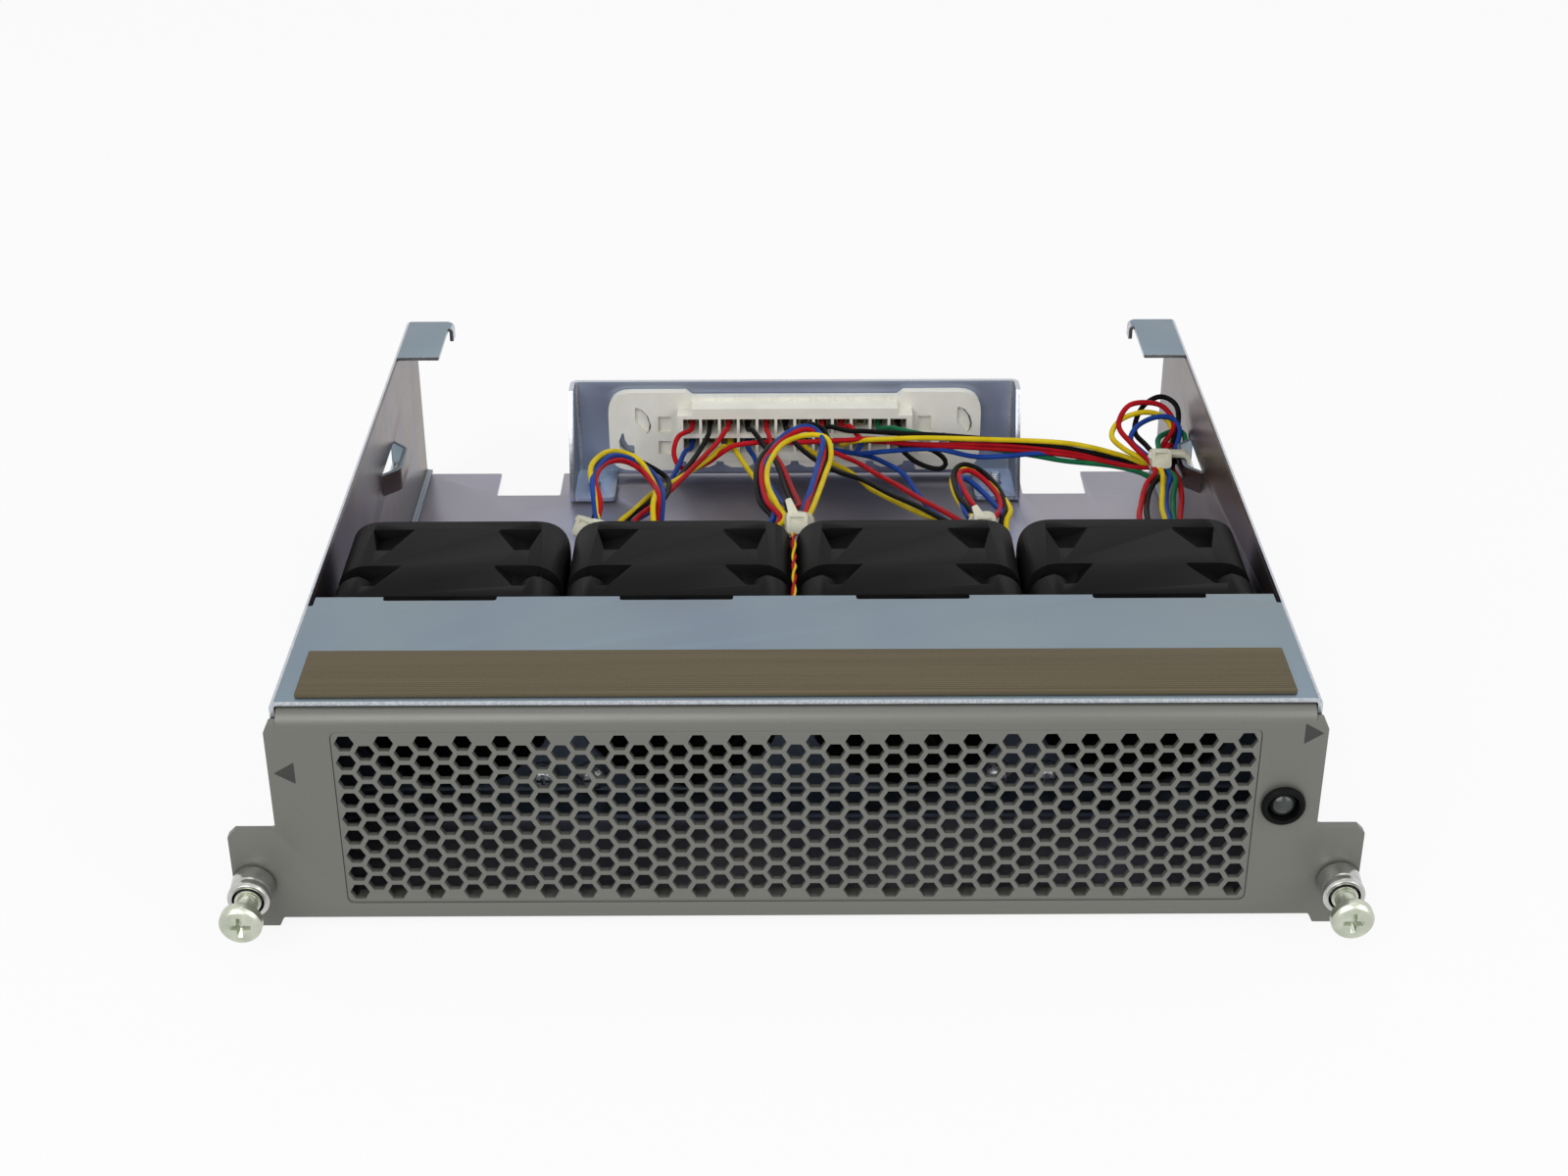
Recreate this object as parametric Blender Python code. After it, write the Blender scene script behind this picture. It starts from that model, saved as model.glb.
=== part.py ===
"""Switch fan tray, one rack unit high.

A painted bezel with a honeycomb inlet closes the front of a folded sheet tray. Four 40 mm fans stand
behind it on the tray's floor, screwed to a plate under the front cover. Their leads run back to a
blind-mate connector on a bracket. Two sprung captive screws in the bezel's ears hold the tray in place.

Frame: +X to the right as seen from the front, +Y to the back, +Z up, in metres.
The origin is the centre of the tray's underside.
"""
import math

import bmesh
import bpy
from mathutils import Matrix, Vector

MM = 0.001

# Fits
GAP = 0.3 * MM
RUNNING_GAP = 0.5 * MM

# Tray
TRAY_DEPTH = 166.5 * MM
SHELL_SHEET = 0.8 * MM
FLOOR_SHEET = 0.8 * MM
BEND_RADIUS = 0.4 * MM
COVER_LENGTH = 36.0 * MM
FLANGE_WIDTH = 2.0 * MM
NOTCH_WIDTH = 19.5 * MM
NOTCH_DEPTH = 1.3 * MM
RELIEF_WIDTH = 0.9 * MM
RELIEF_DEPTH = 3.0 * MM
TAB_START = 140.2 * MM
TAB_LENGTH = 19.5 * MM
TAB_REACH = 9.6 * MM
HOOK_LENGTH = 3.4 * MM
HOOK_REACH = 1.0 * MM
HOOK_DROP = 3.2 * MM
REAR_SLOPE_DROP = 12.4 * MM
BRIDGE_START = 112.0 * MM
BRIDGE_LENGTH = 16.0 * MM
BRIDGE_HEIGHT = 24.8 * MM
BRIDGE_WIDTH = 4.6 * MM
BRIDGE_RISE = 3.2 * MM
FLOOR_NOTCH_CLEARANCE = 1.8 * MM
FLOOR_NOTCH_WIDTH = 14.2 * MM
FLOOR_NOTCH_DEPTH = 11.2 * MM

# Fans
FAN_COUNT = 4
FAN_SIZE = 40.0 * MM
FAN_DEPTH = 28.0 * MM
FAN_PITCH = 40.6 * MM
FAN_FLOOR_GAP = 0.2 * MM
FAN_SIDE_CLEARANCE = 2.0 * MM
FAN_CORNER = 5.0 * MM
FAN_BORE = 37.0 * MM
FAN_HOLE_EDGE = 4.0 * MM
FAN_HOLE = 3.6 * MM
FAN_FLANGE = 3.0 * MM
POCKET_INNER = 6.4 * MM
POCKET_OUTER = 13.6 * MM
POCKET_LENGTH = 5.3 * MM
MOTOR_BASE = 21.0 * MM
MOTOR_BASE_THICKNESS = 2.5 * MM
STRUT_COUNT = 4
STRUT_WIDTH = 2.2 * MM
BEARING_TUBE = 6.0 * MM
SHAFT = 2.0 * MM
HUB = 21.0 * MM
HUB_WALL = 0.8 * MM
HUB_FRONT = 1.5 * MM
HUB_LENGTH = 20.5 * MM
HUB_ROUND = 1.5 * MM
BLADE_COUNT = 5
BLADE_START = 4.5 * MM
BLADE_LENGTH = 17.0 * MM
BLADE_THICKNESS = 0.9 * MM
BLADE_SWEEP = math.radians(58)
BOARD_THICKNESS = 1.0 * MM
CORE_START = 6.5 * MM
CORE_TO_BOARD = 3.0 * MM
FAN_SCREW = 3.0 * MM
FAN_SCREW_HEAD = 5.2 * MM
FAN_SCREW_BITE = 5.0 * MM

# Fan plate
PLATE_SHEET = 0.8 * MM
PLATE_FLANGE = 9.0 * MM
PLATE_OPENING = 37.6 * MM
PLATE_NOTCH_DEPTH = 2.0 * MM
LAMP_LEAD_SLOT = 3.0 * MM

# Bezel
BEZEL_OVERHANG = 1.0 * MM
BEZEL_SHEET = 1.5 * MM
ROLL_RADIUS = 2.6 * MM
LIP_LENGTH = 9.0 * MM
TOP_CORNER = (0.8 * MM, 1.8 * MM)
EAR_REACH = 8.0 * MM
EAR_BOTTOM = -1.7 * MM
EAR_TOP = 17.4 * MM
EAR_CHAMFER = 1.2 * MM
EAR_STEP = 0.8 * MM

# Honeycomb
HEX_PITCH = 3.63 * MM
HEX_FLAT = 2.85 * MM
HEX_BOTTOM_ROW = 5.04 * MM
HEX_MARGIN = 1.0 * MM
HEX_SIDE_MARGIN = 0.75 * MM
WINDOW_SIDE = 9.0 * MM
WINDOW_HEAD = 0.3 * MM
GRILLE_RECESS = 0.15 * MM
GRILLE_SHEET = 1.0 * MM
GRILLE_LAP = 1.5 * MM
WINDOW_CORNER = 1.5 * MM

# Gasket
GASKET_START = 2.8 * MM
GASKET_WIDTH = 13.6 * MM
GASKET_INSET = 4.0 * MM
GASKET_THICKNESS = 0.6 * MM

# Captive screws
CAPTIVE_EDGE = 3.4 * MM
CAPTIVE_Z = 7.1 * MM
FERRULE = 7.2 * MM
FERRULE_LENGTH = 5.4 * MM
FERRULE_BARREL = 6.0 * MM
FERRULE_BORE = 5.2 * MM
FERRULE_TAIL = 0.9 * MM
FERRULE_FLOOR = 0.5 * MM
FERRULE_CATCH = 0.15 * MM
CAPTIVE_TRAVEL = 4.4 * MM
CAPTIVE_HEAD = 7.0 * MM
CAPTIVE_HEAD_LENGTH = 2.3 * MM
CAPTIVE_NECK = 2.2 * MM
CAPTIVE_THREAD = 3.5 * MM
CAPTIVE_THREAD_LENGTH = 3.8 * MM
CAPTIVE_COLLAR = 4.4 * MM
CAPTIVE_COLLAR_LENGTH = 0.6 * MM
WASHER_THICKNESS = 0.4 * MM
SPRING_WIRE = 0.4 * MM
SPRING_DIAMETER = 4.2 * MM
SPRING_TURNS = 3
SPRING_REST = 5.5 * MM

# Status lamp
LAMP_EDGE = 6.0 * MM
LAMP_Z = 21.9 * MM
LAMP_HOLDER = 7.2 * MM
LAMP_BARREL = 6.0 * MM
LAMP_HOLDER_LENGTH = 6.0 * MM
LAMP_RIM = 0.9 * MM
LAMP_LENS = 4.6 * MM

# Rear bracket
BRACKET_SIDE = 8.4 * MM
BRACKET_SHEET = 1.0 * MM
BRACKET_TOP = 24.0 * MM
BRACKET_FOOT_DEPTH = 15.0 * MM
BRACKET_TOP_DEPTH = 6.0 * MM
BRACKET_FOOT_WIDTH = 10.0 * MM
BRACKET_SCREW = 2.2 * MM
BRACKET_SCREW_HEAD = 3.7 * MM
BRACKET_SCREW_TOP = 4.6 * MM
BRACKET_SCREW_BACK = 8.2 * MM

# Connector
CONNECTOR_X = 0.8 * MM
CONNECTOR_Z = 12.7 * MM
CIRCUIT_Z = 13.8 * MM
CONNECTOR_WIDTH = 83.6 * MM
CONNECTOR_HEIGHT = 19.4 * MM
CONNECTOR_CORNER = 4.6 * MM
CONNECTOR_PLATE = 2.2 * MM
CIRCUIT_PITCH = 4.2 * MM
ROW_PITCH = 4.6 * MM
CIRCUIT_COLUMNS = 12
CAVITY = 3.6 * MM
CAVITY_DEPTH = 9.0 * MM
POCKET = 2.6 * MM
BLOCK_REACH = 4.5 * MM
BLOCK_MARGIN = 1.0 * MM
BLOCK_BOTTOM = 5.5 * MM
BLOCK_SHOULDER = 3.2 * MM
BLOCK_TOP = 4.3 * MM
BLOCK_TOP_WIDTH = 45.8 * MM
SHROUD_LENGTH = 9.0 * MM
SHROUD_WALL = 1.6 * MM
SHROUD_HEIGHT = 10.4 * MM
LATCH_REACH = 0.9 * MM
LATCH_LENGTH = 2.0 * MM

# Leads
LEAD_RADIUS = 1.4 * MM
LAMP_LEAD_RADIUS = 0.85 * MM
TIE_WIDTH = 2.4 * MM
TIE_THICKNESS = 0.9 * MM
TIE_HEAD = (4.4 * MM, 3.4 * MM, 3.6 * MM)

# Places that follow from the sizes above
FRONT = -TRAY_DEPTH / 2
REAR = TRAY_DEPTH / 2
FLOOR_TOP = FLOOR_SHEET
FAN_BOTTOM = FLOOR_TOP + FAN_FLOOR_GAP
TRAY_HEIGHT = FAN_BOTTOM + FAN_SIZE
COVER_UNDER = TRAY_HEIGHT - SHELL_SHEET
SHELL_START = FRONT + BEZEL_SHEET + GAP
COVER_REAR = FRONT + COVER_LENGTH
SHELL_WIDTH = FAN_COUNT * FAN_PITCH + 2 * (FAN_SIDE_CLEARANCE + SHELL_SHEET)
WALL_INSIDE = SHELL_WIDTH / 2 - SHELL_SHEET
BEZEL_WIDTH = SHELL_WIDTH + 2 * BEZEL_OVERHANG
EAR_SPAN = BEZEL_WIDTH + 2 * EAR_REACH
GASKET_LENGTH = SHELL_WIDTH - 2 * GASKET_INSET
CAPTIVE_X = EAR_SPAN / 2 - CAPTIVE_EDGE
LAMP_X = BEZEL_WIDTH / 2 - LAMP_EDGE
BRACKET_WIDTH = CONNECTOR_WIDTH + 2 * BRACKET_SIDE
FLOOR_NOTCH_START = BRACKET_WIDTH / 2 + FLOOR_NOTCH_CLEARANCE
FLANGE_BOTTOM = FLOOR_TOP + GAP
FAN_FRONT = COVER_REAR + GAP
FAN_REAR = FAN_FRONT + FAN_DEPTH
FAN_HOLE_SPACING = FAN_SIZE - 2 * FAN_HOLE_EDGE
FAN_Z = FAN_BOTTOM + FAN_SIZE / 2
FAN_XS = [(i - (FAN_COUNT - 1) / 2) * FAN_PITCH for i in range(FAN_COUNT)]
PLATE_REAR = FAN_FRONT - GAP
PLATE_FRONT = PLATE_REAR - PLATE_SHEET
BASE_FRONT = FAN_DEPTH - MOTOR_BASE_THICKNESS
BEZEL_REAR = FRONT + BEZEL_SHEET
ROLL_TOP = COVER_UNDER - GAP
FLAT_TOP = ROLL_TOP - ROLL_RADIUS
COLUMN_PITCH = HEX_PITCH * math.cos(math.radians(30))
HEX_CORNER = HEX_FLAT / math.sqrt(3)
HEX_COLUMNS = 2 * int((BEZEL_WIDTH / 2 - WINDOW_SIDE - HEX_CORNER - HEX_SIDE_MARGIN) / COLUMN_PITCH) + 1
HEX_ROWS = 1 + int((FLAT_TOP - WINDOW_HEAD - HEX_MARGIN - HEX_FLAT / 2 - HEX_BOTTOM_ROW) / HEX_PITCH)
HEX_TOP_ROW = HEX_BOTTOM_ROW + (HEX_ROWS - 1) * HEX_PITCH
WINDOW_HALF = (HEX_COLUMNS - 1) / 2 * COLUMN_PITCH + HEX_CORNER + HEX_SIDE_MARGIN
WINDOW_BOTTOM = HEX_BOTTOM_ROW - HEX_FLAT / 2 - HEX_MARGIN
WINDOW_TOP = HEX_TOP_ROW + HEX_FLAT / 2 + HEX_MARGIN
FERRULE_FRONT = FRONT - FERRULE_LENGTH
FERRULE_REAR = BEZEL_REAR + FERRULE_TAIL
CAPTIVE_HEAD_REAR = FERRULE_FRONT - GAP - CAPTIVE_TRAVEL
CAPTIVE_HEAD_FRONT = CAPTIVE_HEAD_REAR - CAPTIVE_HEAD_LENGTH
SPRING_REAR = FERRULE_REAR - FERRULE_FLOOR - GAP
WASHER_REAR = SPRING_REAR - SPRING_REST - GAP
COLLAR_REAR = WASHER_REAR - WASHER_THICKNESS - GAP
BRACKET_FRONT = REAR - BRACKET_SHEET
BRACKET_BOTTOM = FLOOR_TOP + GAP
CONNECTOR_FRONT = BRACKET_FRONT - GAP - CONNECTOR_PLATE
BLOCK_FRONT = CONNECTOR_FRONT - BLOCK_REACH
BLOCK_HALF = CIRCUIT_COLUMNS / 2 * CIRCUIT_PITCH + BLOCK_MARGIN
ROW_ZS = [CIRCUIT_Z + ROW_PITCH / 2, CIRCUIT_Z - ROW_PITCH / 2]

# Mesh builders

AXES = {
    "X": lambda u, v, w: (w, u, v),
    "Y": lambda u, v, w: (u, w, v),
    "Z": lambda u, v, w: (u, v, w),
}


def prism(outline, axis, start, end):
    """A closed outline pushed from start to end along an axis; the outline is given in the other two."""
    place = AXES[axis]
    mesh = bmesh.new()
    rings = [[mesh.verts.new(place(u, v, w)) for u, v in outline] for w in (start, end)]
    for ring in rings:
        mesh.faces.new(ring)
    count = len(outline)
    for i in range(count):
        j = (i + 1) % count
        mesh.faces.new((rings[0][i], rings[0][j], rings[1][j], rings[1][i]))
    bmesh.ops.recalc_face_normals(mesh, faces=mesh.faces)
    return mesh


def turned(profile, segments, centre=(0.0, 0.0)):
    """A profile of (radius, y) points turned round a line along Y; a radius of zero closes an end."""
    mesh = bmesh.new()
    rings = []
    for radius, y in profile:
        if radius == 0:
            rings.append([mesh.verts.new((centre[0], y, centre[1]))])
            continue
        angles = [2 * math.pi * k / segments for k in range(segments)]
        rings.append([mesh.verts.new((centre[0] + radius * math.cos(a), y,
                                      centre[1] + radius * math.sin(a))) for a in angles])
    pairs = list(zip(rings, rings[1:]))
    if profile[0][0] > 0:
        pairs.append((rings[-1], rings[0]))
    for first, second in pairs:
        for k in range(segments):
            m = (k + 1) % segments
            corners = [first[k % len(first)], first[m % len(first)],
                       second[m % len(second)], second[k % len(second)]]
            mesh.faces.new(list(dict.fromkeys(corners)))
    bmesh.ops.recalc_face_normals(mesh, faces=mesh.faces)
    return mesh


def cylinder(radius, start, end, centre=(0.0, 0.0), segments=24):
    return turned([(0, start), (radius, start), (radius, end), (0, end)], segments, centre)


def box(x, y, z):
    """A box from three (low, high) pairs."""
    (x0, x1), (y0, y1), (z0, z1) = x, y, z
    return prism([(x0, y0), (x1, y0), (x1, y1), (x0, y1)], "Z", z0, z1)


def joined(*meshes):
    """Several closed bodies that don't touch, in one mesh."""
    whole = bmesh.new()
    for mesh in meshes:
        carrier = bpy.data.meshes.new("carrier")
        mesh.to_mesh(carrier)
        mesh.free()
        whole.from_mesh(carrier)
        bpy.data.meshes.remove(carrier)
    return whole


def moved(mesh, matrix):
    bmesh.ops.transform(mesh, matrix=matrix, verts=mesh.verts)
    if matrix.determinant() < 0:
        bmesh.ops.reverse_faces(mesh, faces=mesh.faces)
    return mesh


def both_sides(build):
    """The body that build returns and its mirror image across the middle of the tray."""
    return joined(build(), moved(build(), Matrix.Scale(-1, 4, Vector((1, 0, 0)))))


def rounded_rectangle(low, high, radius, steps=4):
    """Corner points of a rectangle with round corners, counter-clockwise."""
    points = []
    corners = [(high[0], high[1], 0), (low[0], high[1], 90), (low[0], low[1], 180), (high[0], low[1], 270)]
    for u, v, turn in corners:
        cu = u - math.copysign(radius, u - (low[0] + high[0]) / 2)
        cv = v - math.copysign(radius, v - (low[1] + high[1]) / 2)
        for k in range(steps + 1):
            angle = math.radians(turn + 90 * k / steps)
            points.append((cu + radius * math.cos(angle), cv + radius * math.sin(angle)))
    return points


def bent_sheet(path, thickness, inner_radius, steps=3):
    """Cross-section of a folded sheet. The path runs along the sheet's left-hand surface, corners sharp."""
    near, far = [], []

    def unit(a, b):
        return (Vector(b) - Vector(a)).normalized()

    def right(d):
        return Vector((d.y, -d.x))

    def add(point, direction, distance):
        near.append(point)
        far.append(point + right(direction) * distance)

    points = [Vector(p) for p in path]
    add(points[0], unit(points[0], points[1]), thickness)
    for before, corner, after in zip(points, points[1:], points[2:]):
        d1, d2 = unit(before, corner), unit(corner, after)
        turn = math.atan2(d1.x * d2.y - d1.y * d2.x, d1.dot(d2))
        radius = inner_radius if turn > 0 else inner_radius + thickness
        side = -right(d1) if turn > 0 else right(d1)
        start = corner - d1 * radius * math.tan(abs(turn) / 2)
        centre = start + side * radius
        spoke = start - centre
        for k in range(steps + 1):
            rotation = Matrix.Rotation(turn * k / steps, 2)
            add(centre + rotation @ spoke, rotation @ d1, thickness)
    add(points[-1], unit(points[-2], points[-1]), thickness)
    return [tuple(p) for p in near] + [tuple(p) for p in reversed(far)]


# Objects

def material(name, colour, metallic, roughness):
    """A Principled material; the colour is an sRGB hex value."""
    channels = [int(colour[i:i + 2], 16) / 255 for i in (0, 2, 4)]
    linear = [c / 12.92 if c <= 0.04045 else ((c + 0.055) / 1.055) ** 2.4 for c in channels]
    made = bpy.data.materials.new(name)
    made.use_nodes = True
    shader = made.node_tree.nodes["Principled BSDF"]
    shader.inputs["Base Color"].default_value = (*linear, 1)
    shader.inputs["Metallic"].default_value = metallic
    shader.inputs["Roughness"].default_value = roughness
    made.diffuse_color = (*linear, 1)
    return made


FINISHES = {
    "paint": ("747570", 0.2, 0.45),
    "zinc": ("8B98A1", 0.9, 0.32),
    "zinc_inside": ("86818E", 0.9, 0.36),
    "gasket": ("6B6250", 0.1, 0.85),
    "fan_plastic": ("242424", 0.0, 0.45),
    "impeller_plastic": ("1E1E1F", 0.0, 0.4),
    "copper": ("9A5B33", 0.8, 0.4),
    "screw_zinc": ("B9BFB2", 0.9, 0.3),
    "screw_steel": ("A9ABAC", 0.9, 0.3),
    "spring_steel": ("8E9092", 0.9, 0.35),
    "lamp_plastic": ("151515", 0.0, 0.4),
    "lens": ("2C3A2C", 0.0, 0.15),
    "nylon_ivory": ("DEDDD4", 0.0, 0.5),
    "nylon_tie": ("BEBCA5", 0.0, 0.5),
    "wire": ("B3282F", 0.0, 0.4),
    "lamp_wire": ("C9B42E", 0.0, 0.4),
}


def link(obj):
    bpy.context.scene.collection.objects.link(obj)
    return obj


def piece(name, mesh, finish, origin=(0, 0, 0), parent=None):
    """A named solid. The mesh is given in tray coordinates and the object's origin is set to origin."""
    moved(mesh, Matrix.Translation(-Vector(origin)))
    data = bpy.data.meshes.new(name)
    mesh.to_mesh(data)
    mesh.free()
    return placed(name, data, finish, origin, parent)


def placed(name, data, finish, origin, parent=None):
    """A named object that carries existing mesh data."""
    if not data.materials:
        data.materials.append(material(name, *FINISHES[finish]))
    obj = link(bpy.data.objects.new(name, data))
    obj.location = origin
    if parent:
        obj.parent = parent
    shade(data)
    return obj


def shade(data):
    data.shade_smooth()
    data.set_sharp_from_angle(angle=math.radians(32))


def helper(name, mesh, origin=(0, 0, 0)):
    """A cutter or an addition for a Boolean, hidden in renders."""
    moved(mesh, Matrix.Translation(-Vector(origin)))
    data = bpy.data.meshes.new(name)
    mesh.to_mesh(data)
    mesh.free()
    obj = link(bpy.data.objects.new(name, data))
    obj.location = origin
    obj.hide_render = True
    obj.display_type = "WIRE"
    return obj


def boolean(obj, tool, operation):
    step = obj.modifiers.new(tool.name, "BOOLEAN")
    step.operation = operation
    step.solver = "EXACT"
    step.object = tool


def finished_mesh(obj, name):
    """The evaluated mesh of an object, so that copies can share it; the object and its tools go."""
    graph = bpy.context.evaluated_depsgraph_get()
    data = bpy.data.meshes.new_from_object(obj.evaluated_get(graph))
    data.name = name
    tools = [step.object for step in obj.modifiers]
    for unused in [obj, *tools]:
        bpy.data.objects.remove(unused)
    shade(data)
    return data


# Sheet metal

def shell_section():
    """The shell's folded outline seen from the front: flange, wall, cover, wall, flange."""
    half, inner = SHELL_WIDTH / 2, SHELL_WIDTH / 2 - FLANGE_WIDTH
    path = [(-inner, FLANGE_BOTTOM), (-half, FLANGE_BOTTOM), (-half, TRAY_HEIGHT),
            (half, TRAY_HEIGHT), (half, FLANGE_BOTTOM), (inner, FLANGE_BOTTOM)]
    return bent_sheet(path, SHELL_SHEET, BEND_RADIUS, 2)


def cover_cut_outline():
    """What is sheared from the folded sheet's top behind the cover, with fan notches and bend reliefs."""
    relief_front, relief_inner = COVER_REAR - RELIEF_DEPTH, WALL_INSIDE - RELIEF_WIDTH
    front = [(-WALL_INSIDE, relief_front), (-relief_inner, relief_front), (-relief_inner, COVER_REAR)]
    for x in FAN_XS:
        left, right = x - NOTCH_WIDTH / 2, x + NOTCH_WIDTH / 2
        bottom = COVER_REAR - NOTCH_DEPTH
        soft = NOTCH_DEPTH / 3
        front += [(left, COVER_REAR), (left, bottom + soft), (left + soft, bottom),
                  (right - soft, bottom), (right, bottom + soft), (right, COVER_REAR)]
    front += [(relief_inner, COVER_REAR), (relief_inner, relief_front), (WALL_INSIDE, relief_front)]
    tab_front, tab_rear = FRONT + TAB_START, FRONT + TAB_START + TAB_LENGTH
    tab_edge = SHELL_WIDTH / 2 - TAB_REACH
    side = [(WALL_INSIDE, tab_front), (tab_edge, tab_front), (tab_edge, tab_rear),
            (WALL_INSIDE, tab_rear), (WALL_INSIDE, REAR + SHELL_SHEET)]
    return front + side + [(-x, y) for x, y in reversed(side)]


def bridge_strap():
    """Plan outline of the right-hand bridge: the wall's own sheet pressed inwards between two ramps."""
    outside = SHELL_WIDTH / 2
    start, end = FRONT + BRIDGE_START, FRONT + BRIDGE_START + BRIDGE_LENGTH
    root = SHELL_SHEET
    path = [(outside, end + root), (outside, end), (outside - BRIDGE_RISE, end - BRIDGE_RISE),
            (outside - BRIDGE_RISE, start + BRIDGE_RISE), (outside, start), (outside, start - root)]
    return bent_sheet(path, SHELL_SHEET, BEND_RADIUS, 1)


def hook_section():
    """Section of the lip that turns down from the tab's inner edge, at the right-hand tab."""
    tab_edge = SHELL_WIDTH / 2 - TAB_REACH
    path = [(tab_edge - HOOK_REACH, TRAY_HEIGHT - HOOK_DROP), (tab_edge - HOOK_REACH, TRAY_HEIGHT),
            (tab_edge + 2 * HOOK_REACH, TRAY_HEIGHT)]
    return bent_sheet(path, SHELL_SHEET, BEND_RADIUS, 2)


def make_shell():
    shell = piece("chassis_shell", prism(shell_section(), "Y", SHELL_START, REAR), "zinc")
    top = prism(cover_cut_outline(), "Z", COVER_UNDER - BEND_RADIUS, TRAY_HEIGHT + SHELL_SHEET)
    boolean(shell, helper("cover_cut", top), "DIFFERENCE")

    tab_rear = FRONT + TAB_START + TAB_LENGTH
    slope_bottom = TRAY_HEIGHT - REAR_SLOPE_DROP
    slope = [(tab_rear, TRAY_HEIGHT), (REAR, slope_bottom), (REAR + SHELL_SHEET, slope_bottom),
             (REAR + SHELL_SHEET, TRAY_HEIGHT + SHELL_SHEET), (tab_rear, TRAY_HEIGHT + SHELL_SHEET)]
    boolean(shell, helper("wall_slope_cut", prism(slope, "X", -SHELL_WIDTH, SHELL_WIDTH)), "DIFFERENCE")

    start, end = FRONT + BRIDGE_START, FRONT + BRIDGE_START + BRIDGE_LENGTH
    low, high = BRIDGE_HEIGHT - BRIDGE_WIDTH / 2, BRIDGE_HEIGHT + BRIDGE_WIDTH / 2

    def window():
        reach = (WALL_INSIDE - SHELL_SHEET, SHELL_WIDTH / 2 + SHELL_SHEET)
        return box(reach, (start, end), (low - GAP, high + GAP))

    boolean(shell, helper("bridge_window_cut", both_sides(window)), "DIFFERENCE")

    def hook():
        return prism(hook_section(), "Y", tab_rear - HOOK_LENGTH, tab_rear - HOOK_LENGTH / 10)

    added = joined(both_sides(lambda: prism(bridge_strap(), "Z", low, high)), both_sides(hook))
    boolean(shell, helper("bridges_and_hooks", added), "UNION")


def make_floor():
    half = SHELL_WIDTH / 2
    inner, outer = FLOOR_NOTCH_START, FLOOR_NOTCH_START + FLOOR_NOTCH_WIDTH
    step = REAR - FLOOR_NOTCH_DEPTH
    right = [(half, SHELL_START), (half, REAR), (outer, REAR), (outer, step), (inner, step), (inner, REAR)]
    outline = right + [(-x, y) for x, y in reversed(right)]
    floor = piece("floor_plate", prism(outline, "Z", 0, FLOOR_TOP), "zinc_inside")
    cones = [countersink(x, GAP) for x in bracket_screw_xs()]
    boolean(floor, helper("floor_screw_cut", joined(*cones)), "DIFFERENCE")


def make_gasket():
    low = (-GASKET_LENGTH / 2, FRONT + GASKET_START)
    high = (GASKET_LENGTH / 2, FRONT + GASKET_START + GASKET_WIDTH)
    outline = rounded_rectangle(low, high, 1.2 * MM, 3)
    bottom = TRAY_HEIGHT + GAP
    piece("emi_gasket", prism(outline, "Z", bottom, bottom + GASKET_THICKNESS), "gasket")


# Bezel and grille

def bezel_outline():
    """Front outline of the bezel's flat, with the shoulders beside the rolled edge."""
    half = BEZEL_WIDTH / 2
    shoulder = FLAT_TOP + EAR_STEP
    right = [(half, 0), (half, shoulder - TOP_CORNER[1]), (half - TOP_CORNER[0], shoulder),
             (lip_half(), shoulder), (lip_half(), FLAT_TOP)]
    return right + [(-x, z) for x, z in reversed(right)]


def ear_outline(sign):
    """Front outline of one ear of the bezel, which stands beside the flat and steps down below it."""
    root, ear = BEZEL_WIDTH / 2 + GAP, EAR_SPAN / 2
    right = [(root, 0), (BEZEL_WIDTH / 2 + 1.5 * EAR_STEP, EAR_BOTTOM), (ear, EAR_BOTTOM),
             (ear, EAR_TOP - EAR_CHAMFER), (ear - EAR_CHAMFER, EAR_TOP), (root, EAR_TOP)]
    return [(sign * x, z) for x, z in right]


def lip_half():
    return WALL_INSIDE - GAP


def roll_section():
    """Section of the bezel's top: it rolls back over the edge and runs on under the cover."""
    path = [(FRONT + LIP_LENGTH, ROLL_TOP), (FRONT, ROLL_TOP), (FRONT, FLAT_TOP - BEZEL_SHEET)]
    flipped = bent_sheet([(y, -z) for y, z in path], BEZEL_SHEET, ROLL_RADIUS - BEZEL_SHEET, 4)
    return [(y, -z) for y, z in flipped]


def make_bezel():
    bezel = piece("front_bezel", prism(bezel_outline(), "Y", FRONT, BEZEL_REAR), "paint")
    roll = helper("rolled_top_edge", prism(roll_section(), "X", -lip_half(), lip_half()))
    boolean(bezel, roll, "UNION")

    past = (FRONT - BEZEL_SHEET, BEZEL_REAR + BEZEL_SHEET)
    window = rounded_rectangle((-WINDOW_HALF, WINDOW_BOTTOM), (WINDOW_HALF, WINDOW_TOP), WINDOW_CORNER)
    holes = joined(
        prism(window, "Y", *past),
        cylinder(LAMP_BARREL / 2 + GAP, *past, (LAMP_X, LAMP_Z), 12),
    )
    boolean(bezel, helper("bezel_holes", holes), "DIFFERENCE")

    # The ears are solids of their own beside the flat, so that each can be open round its ferrule
    ferrule_hole = FERRULE_BARREL / 2 + GAP
    for side, sign in (("left", -1), ("right", 1)):
        ear = piece("bezel_ear_" + side, prism(ear_outline(sign), "Y", FRONT, BEZEL_REAR), "paint")
        hole = cylinder(ferrule_hole, *past, (sign * CAPTIVE_X, CAPTIVE_Z), 12)
        boolean(ear, helper("ear_hole_" + side, hole), "DIFFERENCE")


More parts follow.
